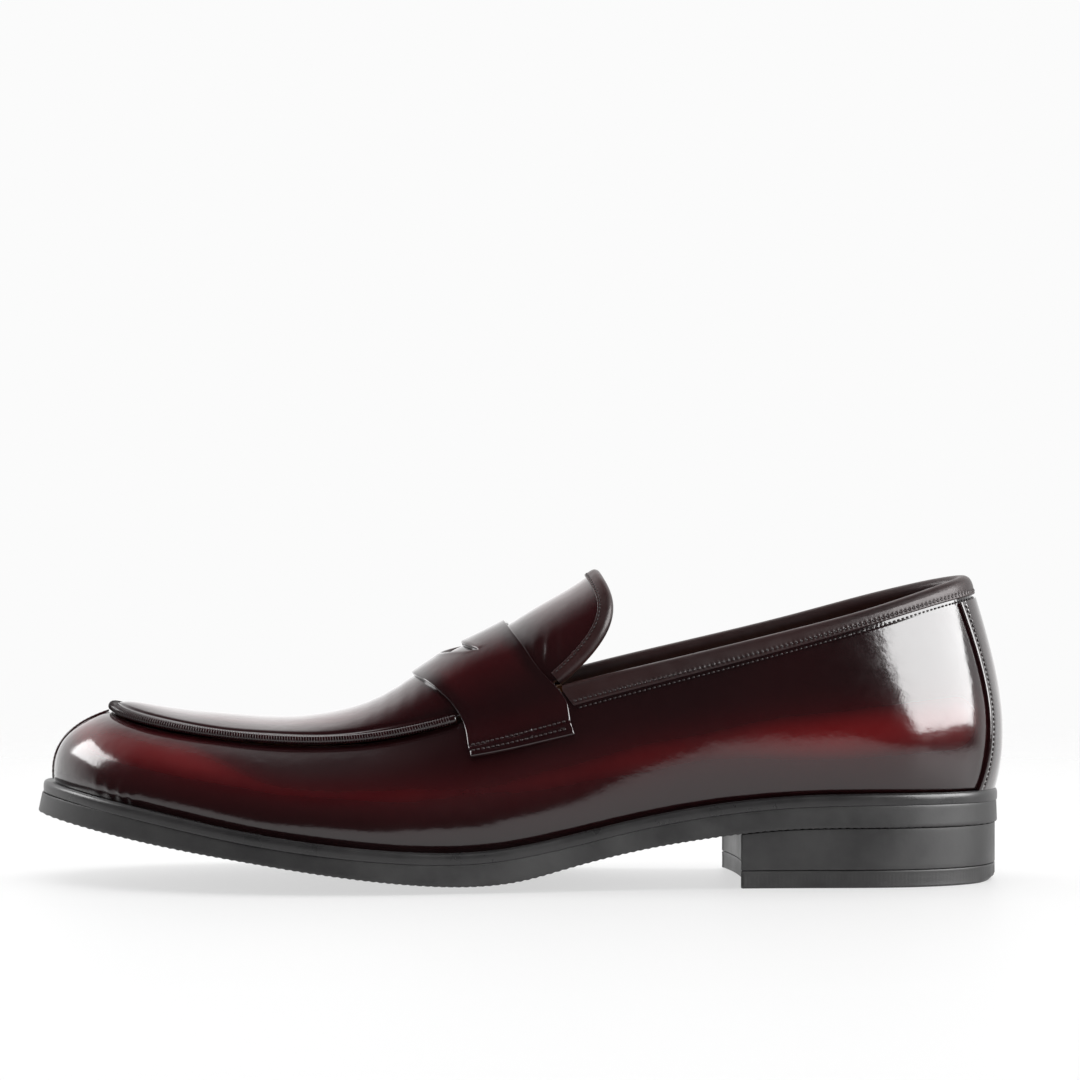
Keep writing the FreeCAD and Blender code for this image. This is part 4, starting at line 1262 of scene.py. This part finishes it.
def tongueLayers():
    # leather and lining; returns how deep the lining's inner face lies
    root = ridgeAt(tongue["root"])
    v = np.sin(np.linspace(-np.pi / 2, np.pi / 2, 121)) * tongue["half"]
    share = np.linspace(0, 1, 130)
    gridV, gridW = np.meshgrid(v, share, indexing="ij")
    end = tongueEnd(gridV)
    u = root + gridW * (end - root)
    place = dorsal(u, gridV)
    fromEdge = (tongue["half"] - np.abs(gridV)) * 44
    behind = place @ instepNormal - 42
    # creases that fan out of the throat corner
    corner = np.exp(-((np.abs(gridV) - 0.74) / 0.15) ** 2) * np.exp(-((behind - 5.0) / 5.5) ** 2)
    folds = np.sin((behind * 1.0 + np.abs(gridV) * 26) * 1.15) * corner * 0.22
    slack = 0.25 * np.sin(behind * 0.21) * bump(gridV, 0, 0.7)
    depth = -tongue["drop"] - roll(fromEdge, 0.5) + (folds + slack) * smooth(behind, -1, 4)
    top = dorsalAt(u, gridV, depth)
    shape = folds + slack * smooth(behind, -1, 4)
    bottom = dorsalAt(u, gridV, -tongue["drop"] - tongue["thick"] + shape)
    points, quads = sheetShell(top, bottom)
    # redder down the middle and darker next to the strap's rear edge, where the dark is also painted shade
    tone = 0.18 + 0.38 * bump(gridV, 0, 0.55) * smooth(behind, 2, 12)
    makePiece("tongueLeather", points, quads, upper, body=bend, stands=("tongue",),
              tone=both(tone))
    back = -tongue["drop"] - tongue["thick"] - 0.1
    u = root + gridW * (end - 0.2 - root)
    top = dorsalAt(u, gridV, back + shape)
    bottom = dorsalAt(u, gridV, back - tongue["lining"] + shape)
    points, quads = sheetShell(top, bottom)
    makePiece("tongueLining", points, quads, lining, body=bend, stands=("tongue_lining",))
    return back - tongue["lining"]


def tongueBinding(inner):
    # binding round the free edge, with one stitch row
    v = np.sin(np.linspace(-np.pi / 2, np.pi / 2, 460)) * tongue["bindingHalf"]

    def frameOf(at, h, depth):
        edge = tongueEnd(at)
        point = dorsal(edge, at)
        along = dorsal(tongueEnd(at + 0.004), at + 0.004) - dorsal(tongueEnd(at - 0.004), at - 0.004)
        normal = dorsalNormal(edge, at)
        away = unit(np.cross(along, normal))
        away = away * np.where(away[..., :1] < 0, -1, 1)
        return point + away * h[..., None] + normal * depth[..., None]

    line = dorsal(tongueEnd(v), v)
    length = runLength(line)

    def drawn(_, above):
        return pucker(length, above - 0.8, 0.45, 0.12)

    leg = tongue["bindingLeg"] + 0 * v
    skin, quads = foldedBand(v, frameOf, leg, -tongue["drop"] + 0.1, inner - 0.15, layers["binding"] - 0.05, drawn)
    tone = np.repeat((0.30 + 0.1 * np.sin(length * 0.2))[:, None], skin.shape[1], 1)
    makePiece("tongueBinding", skin.reshape(-1, 3), quads, edging, body=bend, stands=("tongue_binding",),
              tone=tone, sharp=65)
    at = evenly((v, line), stitch["pitch"], 1.0)
    h = 0 * at - 1.8
    spot = frameOf(at, h, 0 * at - tongue["drop"] + 0.1 + layers["binding"] - 0.16)
    ahead = frameOf(at + 0.004, h, 0 * at - tongue["drop"] + 0.1 + layers["binding"] - 0.16)
    row = stitchRow(spot, dorsalNormal(tongueEnd(at), at), unit(ahead - spot), stitch["edging"])
    makeStitches("tongueStitches", [row], body=bend)


tongueBinding(tongueLayers())
print("tongue made")


# Linings and sock.
def insideWall(name, sLow, sHigh, tLow, tHigh, depth, thick, node, material, columns, waves=0.0):
    s = np.linspace(sLow, sHigh, columns)
    t = np.linspace(tLow, tHigh, 60)
    gridS, gridT = np.meshgrid(s, t, indexing="ij")
    outer = wallAt(gridS, gridT, depth + 0 * gridS)
    swell = waves * np.sin(gridS * 0.21) * np.sin(gridT * 7 + gridS * 0.05)
    inner = wallAt(gridS, gridT, depth - thick + swell)
    points, quads = sheetShell(outer, inner)
    makePiece(name, points, quads, material, stands=(node,))


innerFace = -layers["leather"] - layers["stiffener"] - 0.2
rearStart = knots[5] + 12
insideWall("quarterLining", rearStart, fullRound - rearStart, 0.015, 0.97, innerFace, 1.0, "quarter_lining",
           lining, 420, 0.08)
insideWall("vampLiningLateral", 1.5, rearStart - 1.2, 0.015, 0.86, innerFace, 1.0, "vamp_lining_lateral",
           lining, 160)
insideWall("vampLiningMedial", fullRound - rearStart + 1.2, fullRound - 1.5, 0.015, 0.86, innerFace, 1.0,
           "vamp_lining_medial", lining, 160)
insideWall("heelGrip", halfRound - 40, halfRound + 40, 0.09, 0.86, innerFace - 1.1, 0.8, "heel_grip", suede,
           120)

sock = {"inset": 4.6, "thick": 1.1, "pad": (106.0, 31.0, 20.0, 2.65)}    # pad: x, half length, half width, height


def sockPiece():
    # the sock lies over the board and swells over the heel pad
    s = np.linspace(0, fullRound, 520, endpoint=False)
    base, out, _ = feather(s)
    edge = base - out * sock["inset"]
    middle = centreLine(s)
    shares = np.concatenate([[0, 0.004, 0.012, 0.03], np.linspace(0.07, 1, 30)])
    xy = edge[:, None, :2] + (middle[:, None] - edge[:, None, :2]) * shares[None, :, None]
    x, y = xy[..., 0], xy[..., 1]
    px, lengthHalf, widthHalf, high = sock["pad"]
    away = np.hypot((x - px) / lengthHalf, y / widthHalf)
    pad = high * (1 - smooth(away, 1.05, 1.75))
    ground = featherHeight(x) - 0.7 + pad
    fromEdge = np.minimum(shares * 30, 5)[None] + 0 * x
    top = ground + sock["thick"] - roll(fromEdge, 0.5) + 0.10 * np.sin(x * 0.16) * np.sin(y * 0.14)
    above = np.concatenate([xy, top[..., None]], -1)
    lower = np.concatenate([xy, ground[..., None]], -1)
    skin = np.concatenate([lower[:, ::-1], above], 1)
    quads = gridFaces(len(s), skin.shape[1], closeRows=True)
    makePiece("sockLining", skin.reshape(-1, 3), quads, lining, stands=("sock_lining",),
              weld=True)


sockPiece()
print("linings made")

# Hidden parts keep the CAD solids, with plain finishes.
hidden = {
    "insole_board": (0.30, 0.20, 0.12), "cork_filler": (0.25, 0.14, 0.07), "heel_pad": (0.45, 0.40, 0.32),
    "heel_counter": (0.45, 0.38, 0.28), "toe_puff": (0.45, 0.38, 0.28),
    "shank": (0.45, 0.45, 0.46), "shank_rivets": (0.5, 0.5, 0.5), "heel_nails": (0.5, 0.5, 0.5),
}
for name, colour in hidden.items():
    material, tree, shader = newMaterial("hidden_" + name)
    speckle = noiseNode(tree, 600, 4, 0.7)
    colours = ramp(tree, speckle.outputs["Fac"], [(0.35, tuple(c * 0.7 for c in colour)), (0.65, colour)])
    tree.links.new(colours.outputs["Color"], shader.inputs["Base Color"])
    metal = name in ("shank", "shank_rivets", "heel_nails")
    shader.inputs["Metallic"].default_value = 1.0 if metal else 0.0
    shader.inputs["Roughness"].default_value = 0.4 if metal else 0.85
    nodes[name].data.materials.clear()
    nodes[name].data.materials.append(material)

# Studio.
studio = {
    "background": 0.965,    # white seen by the camera
    "floor": 0.30,          # the floor is a lit pale table: part of its light is its own
    "floorGlow": 0.60,
    "behind": 1.15,         # the white backdrop, as it shows in the leather
    "room": 0.035,          # the dark room round the camera and overhead
}


def makeFloor():
    # a pale plane just under the shoe
    mesh = bpy.data.meshes.new("floor")
    size = 3.0
    corners = [(-size, -size, 0), (size, -size, 0), (size, size, 0), (-size, size, 0)]
    mesh.from_pydata(corners, [], [(0, 1, 2, 3)])
    floor = bpy.data.objects.new("floor", mesh)
    bpy.context.scene.collection.objects.link(floor)
    floor.location.z = -0.00004
    material, tree, shader = newMaterial("paleFloor")
    shader.inputs["Base Color"].default_value = (studio["floor"],) * 3 + (1,)
    shader.inputs["Roughness"].default_value = 0.55
    shader.inputs["Specular IOR Level"].default_value = 0.2
    shader.inputs["Emission Color"].default_value = (1, 1, 1, 1)
    shader.inputs["Emission Strength"].default_value = studio["floorGlow"]
    # the floor fades into the white background away from the shoe
    place = tree.nodes.new("ShaderNodeTexCoord")
    length = tree.nodes.new("ShaderNodeVectorMath")
    length.operation = "LENGTH"
    tree.links.new(place.outputs["Object"], length.inputs[0])
    fade = tree.nodes.new("ShaderNodeMapRange")
    fade.interpolation_type = "SMOOTHSTEP"
    tree.links.new(length.outputs["Value"], fade.inputs["Value"])
    fade.inputs["From Min"].default_value = 0.20
    fade.inputs["From Max"].default_value = 0.95
    clear = tree.nodes.new("ShaderNodeBsdfTransparent")
    mix = tree.nodes.new("ShaderNodeMixShader")
    tree.links.new(fade.outputs["Result"], mix.inputs["Fac"])
    tree.links.new(shader.outputs["BSDF"], mix.inputs[1])
    tree.links.new(clear.outputs["BSDF"], mix.inputs[2])
    tree.links.new(mix.outputs["Shader"], tree.nodes["Material Output"].inputs["Surface"])
    mesh.materials.append(material)


def makeWorld():
    # the white background and what the leather reflects
    world = bpy.data.worlds.new("studio")
    bpy.context.scene.world = world
    world.use_nodes = True
    tree = world.node_tree
    background = tree.nodes["Background"]
    # white for the camera; for everything else bright behind the shoe, dark overhead and on the near side
    path = tree.nodes.new("ShaderNodeLightPath")
    place = tree.nodes.new("ShaderNodeTexCoord")
    split = tree.nodes.new("ShaderNodeSeparateXYZ")
    tree.links.new(place.outputs["Generated"], split.inputs["Vector"])
    dark, bright = studio["room"], studio["behind"]
    back = ramp(tree, mathNode(tree, "ADD", mathNode(tree, "MULTIPLY", split.outputs["Y"], 0.5), 0.5),
                [(0.0, (dark,)), (0.46, (dark,)), (0.66, (bright,)), (1.0, (bright,))])
    overhead = ramp(tree, split.outputs["Z"], [(0.0, (1.0,)), (0.70, (1.0,)), (0.93, (0.08,))])
    room = tree.nodes.new("ShaderNodeMix")
    room.data_type = "RGBA"
    room.blend_type = "MULTIPLY"
    room.inputs["Factor"].default_value = 1.0
    tree.links.new(back.outputs["Color"], room.inputs["A"])
    tree.links.new(overhead.outputs["Color"], room.inputs["B"])
    mix = tree.nodes.new("ShaderNodeMix")
    mix.data_type = "RGBA"
    tree.links.new(path.outputs["Is Camera Ray"], mix.inputs["Factor"])
    tree.links.new(room.outputs["Result"], mix.inputs["A"])
    mix.inputs["B"].default_value = (studio["background"],) * 3 + (1,)
    tree.links.new(mix.outputs["Result"], background.inputs["Color"])


def areaLight(name, place, target, size, power, seenIn):
    # seenIn: "gloss" for a softbox that shows as a highlight, "diffuse" for soft light without one
    light = bpy.data.lights.new(name, "AREA")
    light.shape = "RECTANGLE"
    light.size, light.size_y = size
    light.energy = power
    lamp = bpy.data.objects.new(name, light)
    bpy.context.scene.collection.objects.link(lamp)
    lamp.location = place
    lamp.rotation_euler = (Vector(target) - Vector(place)).to_track_quat("-Z", "Y").to_euler()
    lamp.visible_camera = False
    lamp.visible_glossy = seenIn == "gloss"
    lamp.visible_diffuse = seenIn == "diffuse"


makeFloor()
makeWorld()
areaLight("topLight", (0.0, 0.1, 1.3), (0, 0, 0.03), (1.6, 1.2), 17.0, "diffuse")
areaLight("frontFill", (0.1, -1.2, 0.7), (0, 0, 0.04), (1.2, 0.8), 3.5, "diffuse")
areaLight("leftSoftbox", (-1.16, 0.22, 0.68), (-0.10, 0, 0.05), (0.62, 0.56), 8.5, "gloss")
areaLight("rightSoftbox", (1.16, -0.50, 0.62), (0.10, 0, 0.06), (1.30, 0.95), 46.0, "gloss")

viewpoint = {"lens": 122.3, "place": (0.00588, -1.14829, 0.11602), "tiltDown": 0.51}    # mm, metres, degrees
camera = bpy.data.cameras.new("camera")
camera.lens = viewpoint["lens"]
camera.sensor_width = 36
camera.clip_start = 0.01
view = bpy.data.objects.new("camera", camera)
bpy.context.scene.collection.objects.link(view)
view.location = viewpoint["place"]
view.rotation_euler = (math.radians(90 - viewpoint["tiltDown"]), 0, 0)
bpy.context.scene.camera = view
bpy.context.scene.view_settings.view_transform = "Standard"

print("done")
